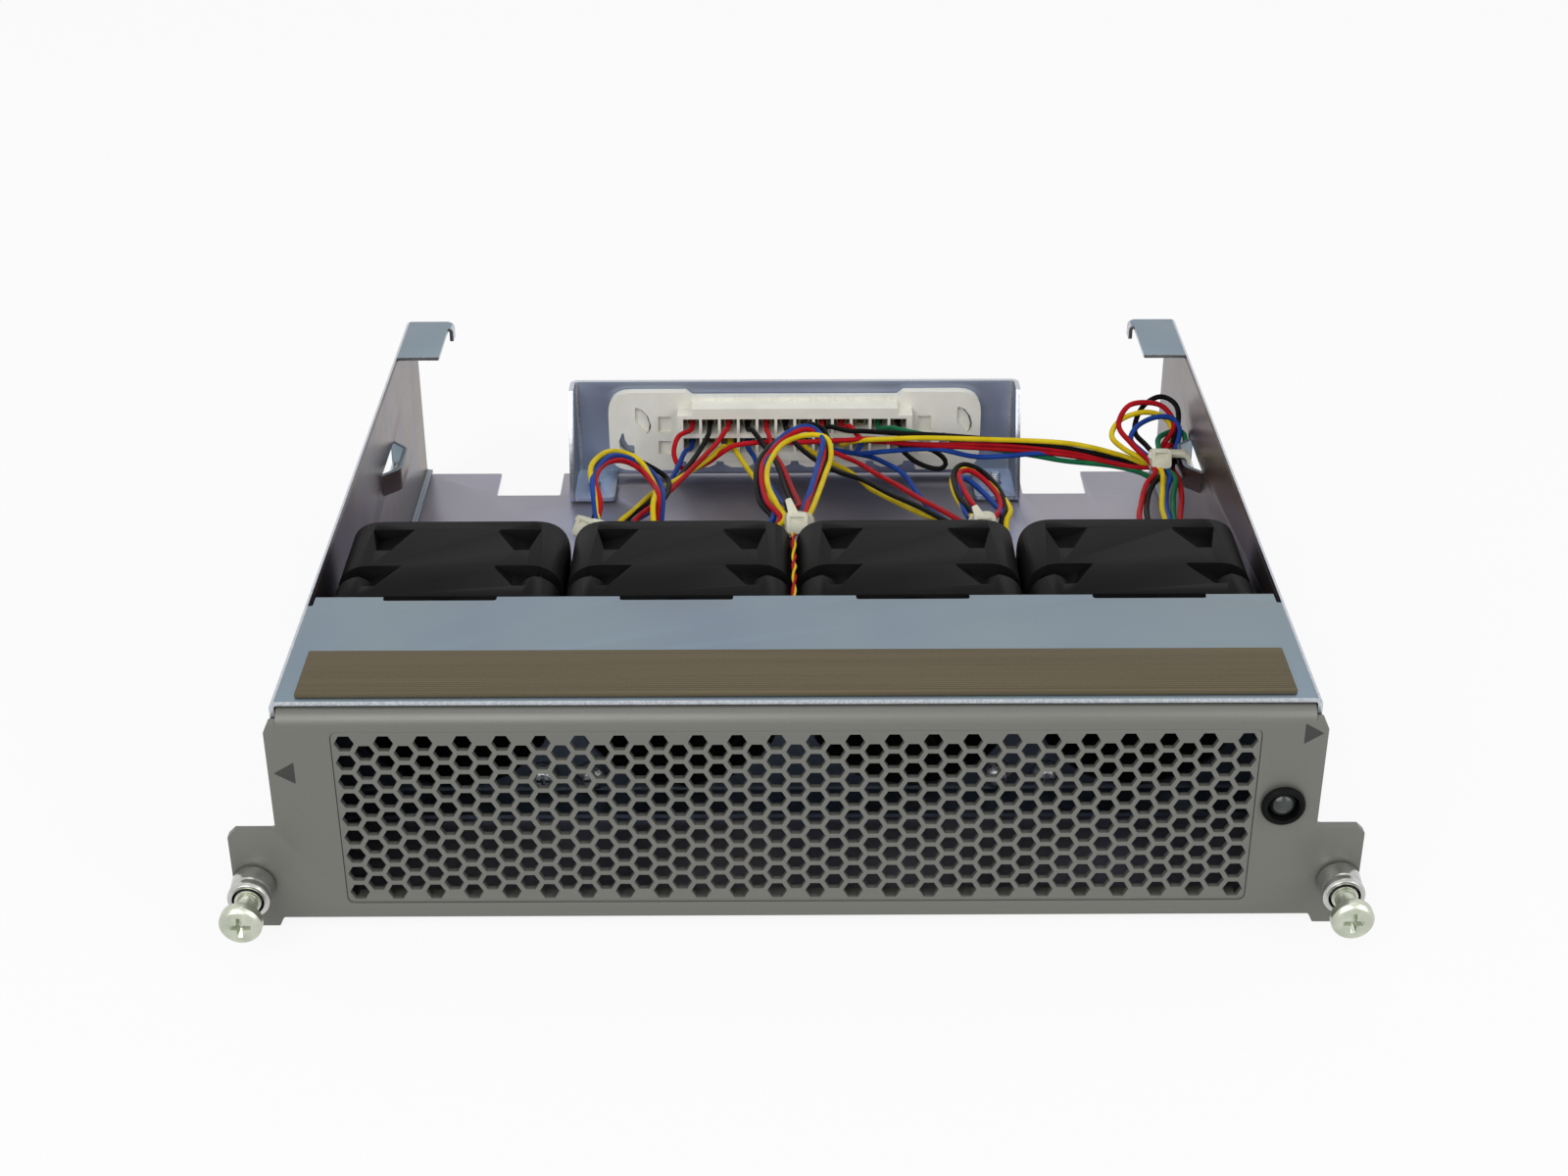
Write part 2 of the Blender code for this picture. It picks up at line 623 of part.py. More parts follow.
def hexagons(start, end):
    """All of the honeycomb's holes: every other column is short by one and shifted by half a pitch."""
    prisms = []
    for column in range(HEX_COLUMNS):
        x = (column - (HEX_COLUMNS - 1) / 2) * COLUMN_PITCH
        short = column % 2
        for row in range(HEX_ROWS - short):
            z = HEX_BOTTOM_ROW + (row + short / 2) * HEX_PITCH
            corners = [(x + HEX_CORNER * math.cos(math.radians(60 * k)),
                        z + HEX_CORNER * math.sin(math.radians(60 * k))) for k in range(6)]
            prisms.append(prism(corners, "Y", start, end))
    return joined(*prisms)


def make_grille():
    """The panel fills the bezel's window; its long edges step back and lap behind the bezel."""
    front = FRONT + GRILLE_RECESS
    back = front + GRILLE_SHEET
    half = WINDOW_HALF - GAP
    low, high = WINDOW_BOTTOM + GAP, WINDOW_TOP - GAP
    outline = rounded_rectangle((-half, low), (half, high), WINDOW_CORNER - GAP)
    grille = piece("honeycomb_grille", prism(outline, "Y", front, back), "paint")

    lap_front = BEZEL_REAR + GAP
    lap_rear = lap_front + GRILLE_SHEET
    rim = HEX_MARGIN - GAP

    def lap(edge, outward):
        z = [edge, edge - outward * rim, edge + outward * GRILLE_LAP]
        section = [(back - GRILLE_SHEET / 3, z[0]), (lap_front, z[0]), (lap_front, z[2]), (lap_rear, z[2]),
                   (lap_rear, z[1]), (back - GRILLE_SHEET / 3, z[1])]
        reach = half - WINDOW_CORNER
        return prism(section, "X", -reach, reach)

    boolean(grille, helper("grille_laps", joined(lap(high, 1), lap(low, -1))), "UNION")
    holes = hexagons(front - GRILLE_SHEET, back + GRILLE_SHEET / 2)
    boolean(grille, helper("hexagon_cut", holes), "DIFFERENCE")


# Captive screws and lamp

def ferrule_profile():
    """Outside from the seat forward to the rolled mouth, then the bore back to its floor."""
    outer, barrel = FERRULE / 2, FERRULE_BARREL / 2
    bore, hole = FERRULE_BORE / 2, CAPTIVE_THREAD / 2 - FERRULE_CATCH
    seat, mouth = FRONT - GAP, FERRULE_FRONT
    ring = FERRULE_LENGTH / 6
    return [(barrel, seat), (outer, seat), (outer * 0.93, mouth + 1.3 * ring), (outer * 0.97, mouth + ring),
            (outer * 0.97, mouth + ring / 3), (outer * 0.9, mouth), (bore, mouth),
            (bore, FERRULE_REAR - FERRULE_FLOOR), (hole, FERRULE_REAR - FERRULE_FLOOR), (hole, FERRULE_REAR),
            (barrel, FERRULE_REAR)]


def captive_profile():
    """Pan head, neck with its collar for the washer, and the larger thread that can't pass the ferrule."""
    head, neck = CAPTIVE_HEAD / 2, CAPTIVE_NECK / 2
    collar, thread = CAPTIVE_COLLAR / 2, CAPTIVE_THREAD / 2
    collar_front = COLLAR_REAR - CAPTIVE_COLLAR_LENGTH
    thread_start = FERRULE_REAR + GAP
    tip = thread_start + CAPTIVE_THREAD_LENGTH
    edge = CAPTIVE_HEAD_LENGTH / 5
    return [(0, CAPTIVE_HEAD_FRONT), (head - edge, CAPTIVE_HEAD_FRONT), (head, CAPTIVE_HEAD_FRONT + edge),
            (head, CAPTIVE_HEAD_REAR), (neck, CAPTIVE_HEAD_REAR), (neck, collar_front),
            (collar, collar_front),
            (collar, COLLAR_REAR), (neck, COLLAR_REAR), (neck, thread_start), (thread, thread_start),
            (thread, tip - edge), (thread - edge, tip), (0, tip)]


def spring_curve(name, x, z):
    """Round wire wound about the screw's neck between the ferrule's floor and the washer."""
    curve = bpy.data.curves.new(name, "CURVE")
    curve.dimensions = "3D"
    curve.bevel_depth = SPRING_WIRE / 2
    curve.bevel_resolution = 0
    curve.resolution_u = curve.render_resolution_u = 0
    curve.use_fill_caps = True
    spline = curve.splines.new("POLY")
    per_turn = 8
    steps = per_turn * SPRING_TURNS
    radius = (SPRING_DIAMETER - SPRING_WIRE) / 2
    run = SPRING_REST - SPRING_WIRE
    spline.points.add(steps)
    for k, point in enumerate(spline.points):
        angle = 2 * math.pi * k / per_turn
        y = -SPRING_WIRE / 2 - run * k / steps
        point.co = (radius * math.cos(angle), y, radius * math.sin(angle), 1)
    curve.materials.append(material(name, *FINISHES["spring_steel"]))
    obj = link(bpy.data.objects.new(name, curve))
    obj.location = (x, SPRING_REAR, z)


def make_captive(side, sign):
    x, z = sign * CAPTIVE_X, CAPTIVE_Z
    axis = (x, FRONT, z)
    piece("ferrule_" + side, turned(ferrule_profile(), 12, (x, z)), "screw_steel", axis)
    slider = link(bpy.data.objects.new("captive_slide_" + side, None))
    slider.location = axis
    screw = piece("captive_screw_" + side, turned(captive_profile(), 12, (x, z)), "screw_zinc", axis)
    hole, outer = CAPTIVE_NECK / 2 + GAP, CAPTIVE_COLLAR / 2
    ring = [(hole, WASHER_REAR - WASHER_THICKNESS), (outer, WASHER_REAR - WASHER_THICKNESS),
            (outer, WASHER_REAR), (hole, WASHER_REAR)]
    washer = piece("thrust_washer_" + side, turned(ring, 12, (x, z)), "spring_steel", axis)
    for carried in (screw, washer):
        carried.parent = slider
        carried.location = (0, 0, 0)
    spring_curve("screw_spring_" + side, x, z)


def make_lamp():
    centre = (LAMP_X, LAMP_Z)
    rim, barrel, bore = LAMP_HOLDER / 2, LAMP_BARREL / 2, LAMP_LENS / 2 + GAP
    seat, front = FRONT - GAP, FRONT - GAP - LAMP_RIM
    back = FRONT + LAMP_HOLDER_LENGTH
    holder = [(bore, front), (rim - LAMP_RIM / 2, front), (rim, seat - LAMP_RIM / 3), (rim, seat),
              (barrel, seat), (barrel, back), (bore, back)]
    piece("lamp_holder", turned(holder, 12, centre), "lamp_plastic")
    lens = LAMP_LENS / 2
    dome = [(lens * math.sin(math.radians(30 * k)), FRONT + lens / 4 - lens * math.cos(math.radians(30 * k)))
            for k in range(1, 4)]
    tip = (0, FRONT + lens / 4 - lens)
    piece("status_lamp", turned([tip, *dome, (lens, back - GAP), (0, back - GAP)], 12, centre), "lens")


# Fan plate and fans

def plate_section():
    """Side section of the fan plate: foot, upright and top flange, both turned forward."""
    bottom, top = FLANGE_BOTTOM, COVER_UNDER - GAP
    path = [(PLATE_REAR - PLATE_FLANGE, bottom), (PLATE_REAR, bottom), (PLATE_REAR, top),
            (PLATE_REAR - PLATE_FLANGE, top)]
    flipped = bent_sheet([(y, -z) for y, z in path], PLATE_SHEET, BEND_RADIUS, 1)
    return [(y, -z) for y, z in flipped]


def fan_hole_places():
    reach = FAN_HOLE_SPACING / 2
    return [(sx * reach, sz * reach) for sx in (-1, 1) for sz in (-1, 1)]


def fan_screw_places(number):
    """The two opposite corners by which a fan is held; every other fan uses the other pair."""
    reach = FAN_HOLE_SPACING / 2
    lean = 1 if number % 2 else -1
    return [(lean * reach, -reach), (-lean * reach, reach)]


def make_fan_plate():
    half = SHELL_WIDTH / 2 - FLANGE_WIDTH - GAP
    plate = piece("fan_plate", prism(plate_section(), "X", -half, half), "zinc_inside")
    past = (PLATE_FRONT - PLATE_SHEET, PLATE_REAR + PLATE_SHEET)
    cuts = []
    for number, x in enumerate(FAN_XS, 1):
        cuts.append(cylinder(PLATE_OPENING / 2, *past, (x, FAN_Z), 24))
        for dx, dz in fan_screw_places(number):
            cuts.append(cylinder(FAN_HOLE / 2, *past, (x + dx, FAN_Z + dz), 6))
    boolean(plate, helper("fan_plate_openings", joined(*cuts)), "DIFFERENCE")

    top = COVER_UNDER - GAP
    behind = PLATE_REAR + PLATE_SHEET
    relief = NOTCH_WIDTH / 2 + GAP
    notches = [box((x - relief, x + relief), (PLATE_REAR - 2 * PLATE_FLANGE, behind),
                   (top - PLATE_NOTCH_DEPTH, top + PLATE_SHEET)) for x in FAN_XS]
    slot = box((-LAMP_LEAD_SLOT / 2, LAMP_LEAD_SLOT / 2), (PLATE_REAR - 2 * PLATE_FLANGE, behind),
               (top - LAMP_LEAD_SLOT, top + PLATE_SHEET))
    boolean(plate, helper("fan_plate_notches", joined(slot, *notches)), "DIFFERENCE")

    outer, inner = FAN_XS[3] + relief, FAN_XS[2] - relief
    spans = [(-half - PLATE_SHEET, -outer), (-inner, inner), (outer, half + PLATE_SHEET)]
    forward = (PLATE_REAR - 2 * PLATE_FLANGE, PLATE_FRONT)
    clear = [box(span, forward, (top - PLATE_NOTCH_DEPTH, top + PLATE_SHEET)) for span in spans]
    boolean(plate, helper("fan_plate_flange_cut", joined(*clear)), "DIFFERENCE")


def moulded_pocket(y_rear, quarter, mirror):
    """A pocket beside the flat on one side of the frame: deep at its rear wall, running out forwards."""
    top, inner, outer = FAN_SIZE / 2 + GAP, POCKET_INNER, POCKET_OUTER
    rear = [(inner, top), (outer, top), (outer, outer + 2 * MM), (inner + 1.8 * MM, top - 1.6 * MM)]
    front = [(inner + 2 * MM, top), (outer - MM, top)]
    mesh = bmesh.new()
    back = [mesh.verts.new((x, y_rear, z)) for x, z in rear]
    nose = [mesh.verts.new((x, y_rear - POCKET_LENGTH, z)) for x, z in front]
    mesh.faces.new(back)
    mesh.faces.new((back[0], back[1], nose[1], nose[0]))
    mesh.faces.new((back[1], back[2], nose[1]))
    mesh.faces.new((back[2], back[3], nose[0]))
    mesh.faces.new((back[2], nose[0], nose[1]))
    mesh.faces.new((back[3], back[0], nose[0]))
    bmesh.ops.recalc_face_normals(mesh, faces=mesh.faces)
    turn = Matrix.Rotation(math.radians(90 * quarter), 4, "Y")
    flip = Matrix.Scale(-1 if mirror else 1, 4, Vector((1, 0, 0)))
    return moved(mesh, turn @ flip)


def fan_frame_mesh():
    """Square frame about its own axis, front face at y = 0, struts and motor base at the back."""
    side = FAN_SIZE / 2
    outline = rounded_rectangle((-side, -side), (side, side), FAN_CORNER, 2)
    frame = piece("frame_pattern", prism(outline, "Y", 0, FAN_DEPTH), "fan_plastic")
    past = (-FAN_FLANGE, FAN_DEPTH + FAN_FLANGE)
    cuts = [cylinder(FAN_BORE / 2, *past, segments=24)]
    cuts += [cylinder(FAN_HOLE / 2, *past, place, 6) for place in fan_hole_places()]
    cuts += [moulded_pocket(FAN_DEPTH - FAN_FLANGE, q, m) for q in range(4) for m in (False, True)]
    boolean(frame, helper("frame_bore", joined(*cuts)), "DIFFERENCE")

    start, end = MOTOR_BASE / 2 - MM, FAN_BORE / 2 + MM
    bar = (-STRUT_WIDTH / 2, STRUT_WIDTH / 2)
    depth = (BASE_FRONT, FAN_DEPTH)
    turns = [math.tau * (k + 0.5) / STRUT_COUNT for k in range(STRUT_COUNT)]
    struts = [moved(box((start, end), depth, bar), Matrix.Rotation(turn, 4, "Y")) for turn in turns]
    boolean(frame, helper("frame_struts", joined(*struts)), "UNION")

    tube, bore = BEARING_TUBE / 2, SHAFT / 2 + GAP
    tube_front = HUB_FRONT + HUB_WALL + 2 * RUNNING_GAP + 2 * MM
    base = [(0, FAN_DEPTH), (MOTOR_BASE / 2, FAN_DEPTH), (MOTOR_BASE / 2, BASE_FRONT), (tube, BASE_FRONT),
            (tube, tube_front), (bore, tube_front), (bore, BASE_FRONT), (0, BASE_FRONT)]
    boolean(frame, helper("frame_motor_base", turned(base, 12)), "UNION")
    return finished_mesh(frame, "fan_frame")


def stator_mesh():
    """Coil core on the bearing tube, with the round circuit board behind it."""
    inner, core = BEARING_TUBE / 2 + GAP, HUB / 2 - HUB_WALL - RUNNING_GAP
    rear = BASE_FRONT - GAP
    board = rear - BOARD_THICKNESS
    core_start, core_end = CORE_START, board - CORE_TO_BOARD
    profile = [(inner, core_start), (core, core_start), (core, core_end), (inner + MM, core_end),
               (inner + MM, board), (core, board), (core, rear), (inner, rear)]
    stator = piece("stator_pattern", turned(profile, 12), "copper")
    return finished_mesh(stator, "fan_stator")


def blade(index):
    """One blade: a sheet that turns about the axis as it runs back, thickened to a solid."""
    mesh = bmesh.new()
    hub, tip = HUB / 2 - HUB_WALL / 2, FAN_BORE / 2 - RUNNING_GAP
    radii = [hub, tip]
    chord = [0, 0.45, 1]
    base = math.tau * index / BLADE_COUNT
    sides = []
    for face in (-0.5, 0.5):
        sheet = []
        for r in radii:
            row = []
            for s in chord:
                camber = s ** 1.4
                lean = 0.12 * (r - hub) / (tip - hub)
                angle = base + BLADE_SWEEP * camber + lean + face * BLADE_THICKNESS / r
                row.append(mesh.verts.new((r * math.cos(angle), BLADE_START + BLADE_LENGTH * s,
                                           r * math.sin(angle))))
            sheet.append(row)
        sides.append(sheet)
    rows, columns = len(radii), len(chord)
    for i in range(rows - 1):
        for j in range(columns - 1):
            for sheet in sides:
                mesh.faces.new((sheet[i][j], sheet[i + 1][j], sheet[i + 1][j + 1], sheet[i][j + 1]))
    for j in range(columns - 1):
        for i in (0, rows - 1):
            mesh.faces.new((sides[0][i][j], sides[0][i][j + 1], sides[1][i][j + 1], sides[1][i][j]))
    for i in range(rows - 1):
        for j in (0, columns - 1):
            mesh.faces.new((sides[0][i][j], sides[0][i + 1][j], sides[1][i + 1][j], sides[1][i][j]))
    bmesh.ops.recalc_face_normals(mesh, faces=mesh.faces)
    bmesh.ops.triangulate(mesh, faces=mesh.faces)
    return mesh


def impeller_mesh():
    """Hub cup with the shaft in it, and the blades round it."""
    outer, inner = HUB / 2, HUB / 2 - HUB_WALL
    end = HUB_FRONT + HUB_LENGTH
    floor = HUB_FRONT + HUB_WALL
    hub = [(0, HUB_FRONT), (outer - HUB_ROUND, HUB_FRONT), (outer, HUB_FRONT + HUB_ROUND), (outer, end),
           (inner, end), (inner, floor + HUB_ROUND), (SHAFT / 2, floor), (SHAFT / 2, BASE_FRONT - MM),
           (0, BASE_FRONT - MM)]
    impeller = piece("impeller_pattern", turned(hub, 15), "impeller_plastic")
    boolean(impeller, helper("blades", joined(*[blade(k) for k in range(BLADE_COUNT)])), "UNION")
    return finished_mesh(impeller, "fan_impeller")


def fan_screw_mesh():
    """Pan head in front of the fan plate, shank in the frame's hole; its axis is Y."""
    head_rear = PLATE_FRONT - GAP - FAN_FRONT
    head_front = head_rear - 2.0 * MM
    head, shank = FAN_SCREW_HEAD / 2, FAN_SCREW / 2
    shoulder = (head_front + head_rear) / 2
    profile = [(0, head_front), (head * 0.75, head_front), (head, shoulder), (head, head_rear),
               (shank, head_rear), (shank, FAN_SCREW_BITE), (0, FAN_SCREW_BITE)]
    screw = piece("fan_screw_pattern", turned(profile, 8), "screw_steel")
    return finished_mesh(screw, "fan_screw")


def make_fans():
    frame, stator, impeller, screw = fan_frame_mesh(), stator_mesh(), impeller_mesh(), fan_screw_mesh()
    for number, x in enumerate(FAN_XS, 1):
        axis = (x, FAN_FRONT, FAN_Z)
        placed(f"fan_frame_{number}", frame, "fan_plastic", axis)
        placed(f"fan_stator_{number}", stator, "copper", axis)
        placed(f"fan_impeller_{number}", impeller, "impeller_plastic", axis)
        for name, (dx, dz) in zip(("lower", "upper"), fan_screw_places(number)):
            placed(f"fan_screw_{number}_{name}", screw, "screw_steel", (x + dx, FAN_FRONT, FAN_Z + dz))


# Bracket and connector

def bracket_screw_xs():
    reach = BRACKET_WIDTH / 2 - BRACKET_FOOT_WIDTH / 2
    return [CONNECTOR_X - reach, CONNECTOR_X + reach]


def screw_turned(profile, x):
    """A profile of (radius, z) points turned round an upright line through a bracket foot's screw."""
    mesh = turned(profile, 12)
    upright = Matrix.Rotation(math.radians(90), 4, "X")
    place = Matrix.Translation((x, REAR - BRACKET_SCREW_BACK, 0))
    return moved(mesh, place @ upright)


def countersink(x, clearance):
    """The floor's hole for a bracket screw: its cone, wider by a clearance, run on past both faces."""
    head, shank = BRACKET_SCREW_HEAD / 2 + clearance, BRACKET_SCREW / 2 + clearance
    past = clearance
    flare = (head - shank) / FLOOR_TOP * past
    profile = [(0, -past), (head + flare, -past), (shank - flare, FLOOR_TOP + past), (0, FLOOR_TOP + past)]
    return screw_turned(profile, x)


def bracket_flange_cut():
    """The side flanges' front edges slope back from the feet to the top."""
    foot, top = REAR - BRACKET_FOOT_DEPTH, REAR - BRACKET_TOP_DEPTH
    low = BRACKET_BOTTOM + BRACKET_SHEET
    past = BRACKET_SHEET
    outline = [(foot - past, low), (foot, low), (top, BRACKET_TOP), (top, BRACKET_TOP + past),
               (foot - past, BRACKET_TOP + past)]
    return prism(outline, "X", -BRACKET_WIDTH, BRACKET_WIDTH)


def make_bracket():
    half = BRACKET_WIDTH / 2
    foot = REAR - BRACKET_FOOT_DEPTH
    left, right = CONNECTOR_X - half, CONNECTOR_X + half
    path = [(left, foot), (left, REAR), (right, REAR), (right, foot)]
    plan = bent_sheet(path, BRACKET_SHEET, BEND_RADIUS * 2, 2)
    bracket = piece("rear_bracket", prism(plan, "Z", BRACKET_BOTTOM, BRACKET_TOP), "zinc")
    boolean(bracket, helper("bracket_slope_cut", bracket_flange_cut()), "DIFFERENCE")

    inset, width = BRACKET_SHEET / 2, BRACKET_FOOT_WIDTH
    feet = [rounded_rectangle((x0, foot), (x1, REAR - inset), BRACKET_SHEET)
            for x0, x1 in ((left + inset, left + width), (right - width, right - inset))]
    plates = [prism(outline, "Z", BRACKET_BOTTOM, BRACKET_BOTTOM + BRACKET_SHEET) for outline in feet]
    boolean(bracket, helper("bracket_feet", joined(*plates)), "UNION")

    half_width, half_height = BLOCK_HALF + GAP, SHROUD_HEIGHT / 2 + GAP
    opening = box((CONNECTOR_X - half_width, CONNECTOR_X + half_width),
                  (BRACKET_FRONT - BRACKET_SHEET, REAR + BRACKET_SHEET),
                  (CIRCUIT_Z - half_height, CIRCUIT_Z + half_height))
    shank = BRACKET_SCREW / 2 + GAP
    bores = [screw_turned([(0, FLOOR_TOP), (shank, FLOOR_TOP), (shank, BRACKET_SCREW_TOP),
                           (0, BRACKET_SCREW_TOP)], x) for x in bracket_screw_xs()]
    boolean(bracket, helper("bracket_openings", joined(opening, *bores)), "DIFFERENCE")

    head, core = BRACKET_SCREW_HEAD / 2, BRACKET_SCREW / 2
    for side, x in zip(("left", "right"), bracket_screw_xs()):
        profile = [(0, 0), (head, 0), (core, FLOOR_TOP), (core, BRACKET_SCREW_TOP - core / 2),
                   (core / 2, BRACKET_SCREW_TOP), (0, BRACKET_SCREW_TOP)]
        piece("bracket_screw_" + side, screw_turned(profile, x), "screw_zinc")


def make_connector():
    half, tall = CONNECTOR_WIDTH / 2, CONNECTOR_HEIGHT / 2
    low = (CONNECTOR_X - half, CONNECTOR_Z - tall)
    high = (CONNECTOR_X + half, CONNECTOR_Z + tall)
    outline = rounded_rectangle(low, high, CONNECTOR_CORNER)
    rear = BRACKET_FRONT - GAP
    housing = piece("connector_housing", prism(outline, "Y", CONNECTOR_FRONT, rear), "nylon_ivory")

    bottom, shoulder, top = ROW_ZS[1] - BLOCK_BOTTOM, ROW_ZS[0] + BLOCK_SHOULDER, ROW_ZS[0] + BLOCK_TOP
    narrow = BLOCK_TOP_WIDTH / 2
    right = [(BLOCK_HALF, bottom), (BLOCK_HALF, shoulder), (narrow, shoulder), (narrow, top)]
    front_view = [(CONNECTOR_X + x, z) for x, z in right + [(-x, z) for x, z in reversed(right)]]
    boolean(housing, helper("cavity_block", prism(front_view, "Y", BLOCK_FRONT, rear - MM)), "UNION")
    shroud_half, shroud_tall = BLOCK_HALF, SHROUD_HEIGHT / 2
    shroud = box((CONNECTOR_X - shroud_half, CONNECTOR_X + shroud_half), (rear - MM, REAR + SHROUD_LENGTH),
                 (CIRCUIT_Z - shroud_tall, CIRCUIT_Z + shroud_tall))
    boolean(housing, helper("rear_shroud", shroud), "UNION")

    def latch(side):
        edge = CONNECTOR_X + side * shroud_half
        start = REAR + GAP
        wedge = [(edge - side * MM, start), (edge + side * LATCH_REACH, start),
                 (edge + side * LATCH_REACH / 3, start + LATCH_LENGTH),
                 (edge - side * MM, start + LATCH_LENGTH)]
        return prism(wedge, "Z", CIRCUIT_Z - SHROUD_HEIGHT / 4, CIRCUIT_Z + SHROUD_HEIGHT / 4)

    boolean(housing, helper("panel_latches", joined(latch(-1), latch(1))), "UNION")

    cuts = []
    for column in range(CIRCUIT_COLUMNS):
        x = CONNECTOR_X + (column - (CIRCUIT_COLUMNS - 1) / 2) * CIRCUIT_PITCH
        for z in ROW_ZS:
            cuts.append(box((x - CAVITY / 2, x + CAVITY / 2), (BLOCK_FRONT - GAP, BLOCK_FRONT + CAVITY_DEPTH),
                            (z - CAVITY / 2, z + CAVITY / 2)))
    mating = BLOCK_FRONT + CAVITY_DEPTH + SHROUD_WALL
    cuts.append(box((CONNECTOR_X - shroud_half + SHROUD_WALL, CONNECTOR_X + shroud_half - SHROUD_WALL),
                    (mating, REAR + SHROUD_LENGTH + GAP),
                    (CIRCUIT_Z - shroud_tall + SHROUD_WALL, CIRCUIT_Z + shroud_tall - SHROUD_WALL)))
    for side in (-1, 1):
        near = CONNECTOR_X + side * (BLOCK_HALF + CIRCUIT_PITCH)
        cuts.append(box((near - POCKET / 2, near + POCKET / 2),
                        (CONNECTOR_FRONT - GAP, CONNECTOR_FRONT + POCKET / 2),
                        (ROW_ZS[1] - POCKET / 2, ROW_ZS[0] + POCKET / 2)))
    boolean(housing, helper("connector_cuts", joined(*cuts)), "DIFFERENCE")


# Leads and ties

# Route points in millimetres: x, distance behind the bezel's face, height. Each runs from fan to connector.
LEAD_ROUTES = {
    "fan_lead_1": [(-50.65, 64.6, 31.25), (-50.65, 67.5, 31.25), (-48.8, 71, 31.6), (-44.4, 73.6, 32.6),
                   (-39.8, 77, 34.6), (-38.5, 85, 36.4), (-39.2, 97, 35.4), (-39, 108, 33.2),
                   (-36, 115.5, 30.8), (-31.3, 114.5, 29.8), (-28, 106, 28.6), (-27, 95, 26),
                   (-28, 86, 21), (-29.6, 86, 14.5), (-30, 97, 10), (-28.5, 118, 8), (-24.6, 144, 9.5),
                   (-22.3, 154.6, 11.5), (-22.3, 160.5, 11.5)],
    "fan_lead_2": [(-10.05, 64.6, 31.25), (-10.05, 67.5, 31.25), (-8.2, 71.6, 32.6), (-5.2, 78, 35),
                   (-5.2, 90, 36), (-5, 106, 34.2), (-2.6, 121, 31.8), (2.4, 127.5, 30.9), (7, 121, 31),
                   (7.6, 108, 32.6), (6, 94, 34.8), (3.6, 84, 36), (1.7, 77.3, 35.2), (0.9, 73.2, 32.4),
                   (0.9, 72.6, 28.6), (1.6, 76.5, 25.6), (3.4, 92, 22.6), (7.6, 128, 16),
                   (10.9, 154.2, 11.5), (11.3, 160.5, 11.5)],
    "fan_lead_3": [(30.55, 64.6, 31.25), (30.55, 67.5, 31.25), (32.2, 71.4, 30.4), (36.4, 73, 27.6),
                   (40.8, 77, 27.4), (43, 88, 29.6), (42.8, 99, 29.4), (39.4, 107.5, 29),
                   (35, 106.5, 30.2), (33, 97, 33), (33.8, 87, 34.8), (35.2, 79.4, 34.2),
                   (35.6, 76.2, 31.2), (35, 78.4, 27.4), (34, 85, 24.4), (31.6, 98, 21.4),
                   (28.5, 124, 15), (24.8, 148, 12), (23.9, 154.8, 11.5), (23.9, 160.5, 11.5)],
    "fan_lead_4": [(71.15, 64.6, 31.25), (71.15, 67.5, 31.25), (71.2, 73, 30.8), (72.3, 90, 27.5),
                   (75.8, 107, 25.2), (77.4, 116, 24.8), (77.6, 122, 25), (78.3, 128, 27.4),
                   (78.4, 132.5, 32), (75, 133, 35.6), (70.6, 131.6, 33.4), (70.4, 128.4, 28.6),
                   (69.6, 126.6, 24.6), (65.6, 128.6, 22.4), (58, 134.5, 21.4), (48, 143, 20),
                   (38, 148.5, 18.4), (27.5, 151.4, 16.6), (24.1, 155.4, 16.1), (23.9, 160.5, 16.1)],
    "lamp_lead": [(79, 6, 21.9), (79, 8, 21.9), (78, 10.5, 25), (77, 12.5, 31), (74, 13.5, 36), (68, 14, 37.6),
                  (50, 15, 37.8), (30, 17, 37.8), (12, 21, 37.8), (3, 27, 37.8), (0, 34, 39), (0, 44, 39.05),
                  (0, 56, 39.05), (0, 62.5, 38.8), (-0.2, 66.4, 36.4), (-0.4, 67.4, 31), (-0.4, 68.6, 24),
                  (-1.2, 76, 19), (-3, 98, 15.5), (-4.8, 130, 12.5), (-5.5, 148, 11.6), (-5.5, 154, 11.5),
                  (-5.5, 160.5, 11.5)],
}
LEAD_POINT_COUNT = {"fan_lead_1": 40, "fan_lead_2": 48, "fan_lead_3": 42, "fan_lead_4": 32, "lamp_lead": 42}
# Each tie closes round one straight piece of a lead's run, counted from the fan
TIE_PLACES = {"cable_tie_1": ("fan_lead_1", 4), "cable_tie_2": ("fan_lead_2", 26),
              "cable_tie_3": ("fan_lead_3", 19)}
WALL_TIE = (77.5, 119.5, 24.9)


def tray_point(x, back, up):
    return Vector((x * MM, FRONT + back * MM, up * MM))


def smooth_route(points, count):
    """Evenly spaced points on a Catmull-Rom curve through the route's own points."""
    padded = [2 * points[0] - points[1], *points, 2 * points[-1] - points[-2]]
    dense = []
    for a, b, c, d in zip(padded, padded[1:], padded[2:], padded[3:]):
        for k in range(16):
            t = k / 16
            dense.append(0.5 * (2 * b + (c - a) * t + (2 * a - 5 * b + 4 * c - d) * t ** 2
                                + (3 * b - a - 3 * c + d) * t ** 3))
    dense.append(points[-1])
    lengths = [0.0]
    for before, after in zip(dense, dense[1:]):
        lengths.append(lengths[-1] + (after - before).length)
    route, k = [], 0
    for i in range(count):
        target = lengths[-1] * i / (count - 1)
        while k < len(dense) - 2 and lengths[k + 1] < target:
            k += 1
        span = max(lengths[k + 1] - lengths[k], 1e-9)
        route.append(dense[k].lerp(dense[k + 1], (target - lengths[k]) / span))
    return route


def lead_route(name):
    """The route's smooth run, with a straight piece at each end."""
    first, *middle, last = [tray_point(*p) for p in LEAD_ROUTES[name]]
    return [first, *smooth_route(middle, LEAD_POINT_COUNT[name] - 2), last]


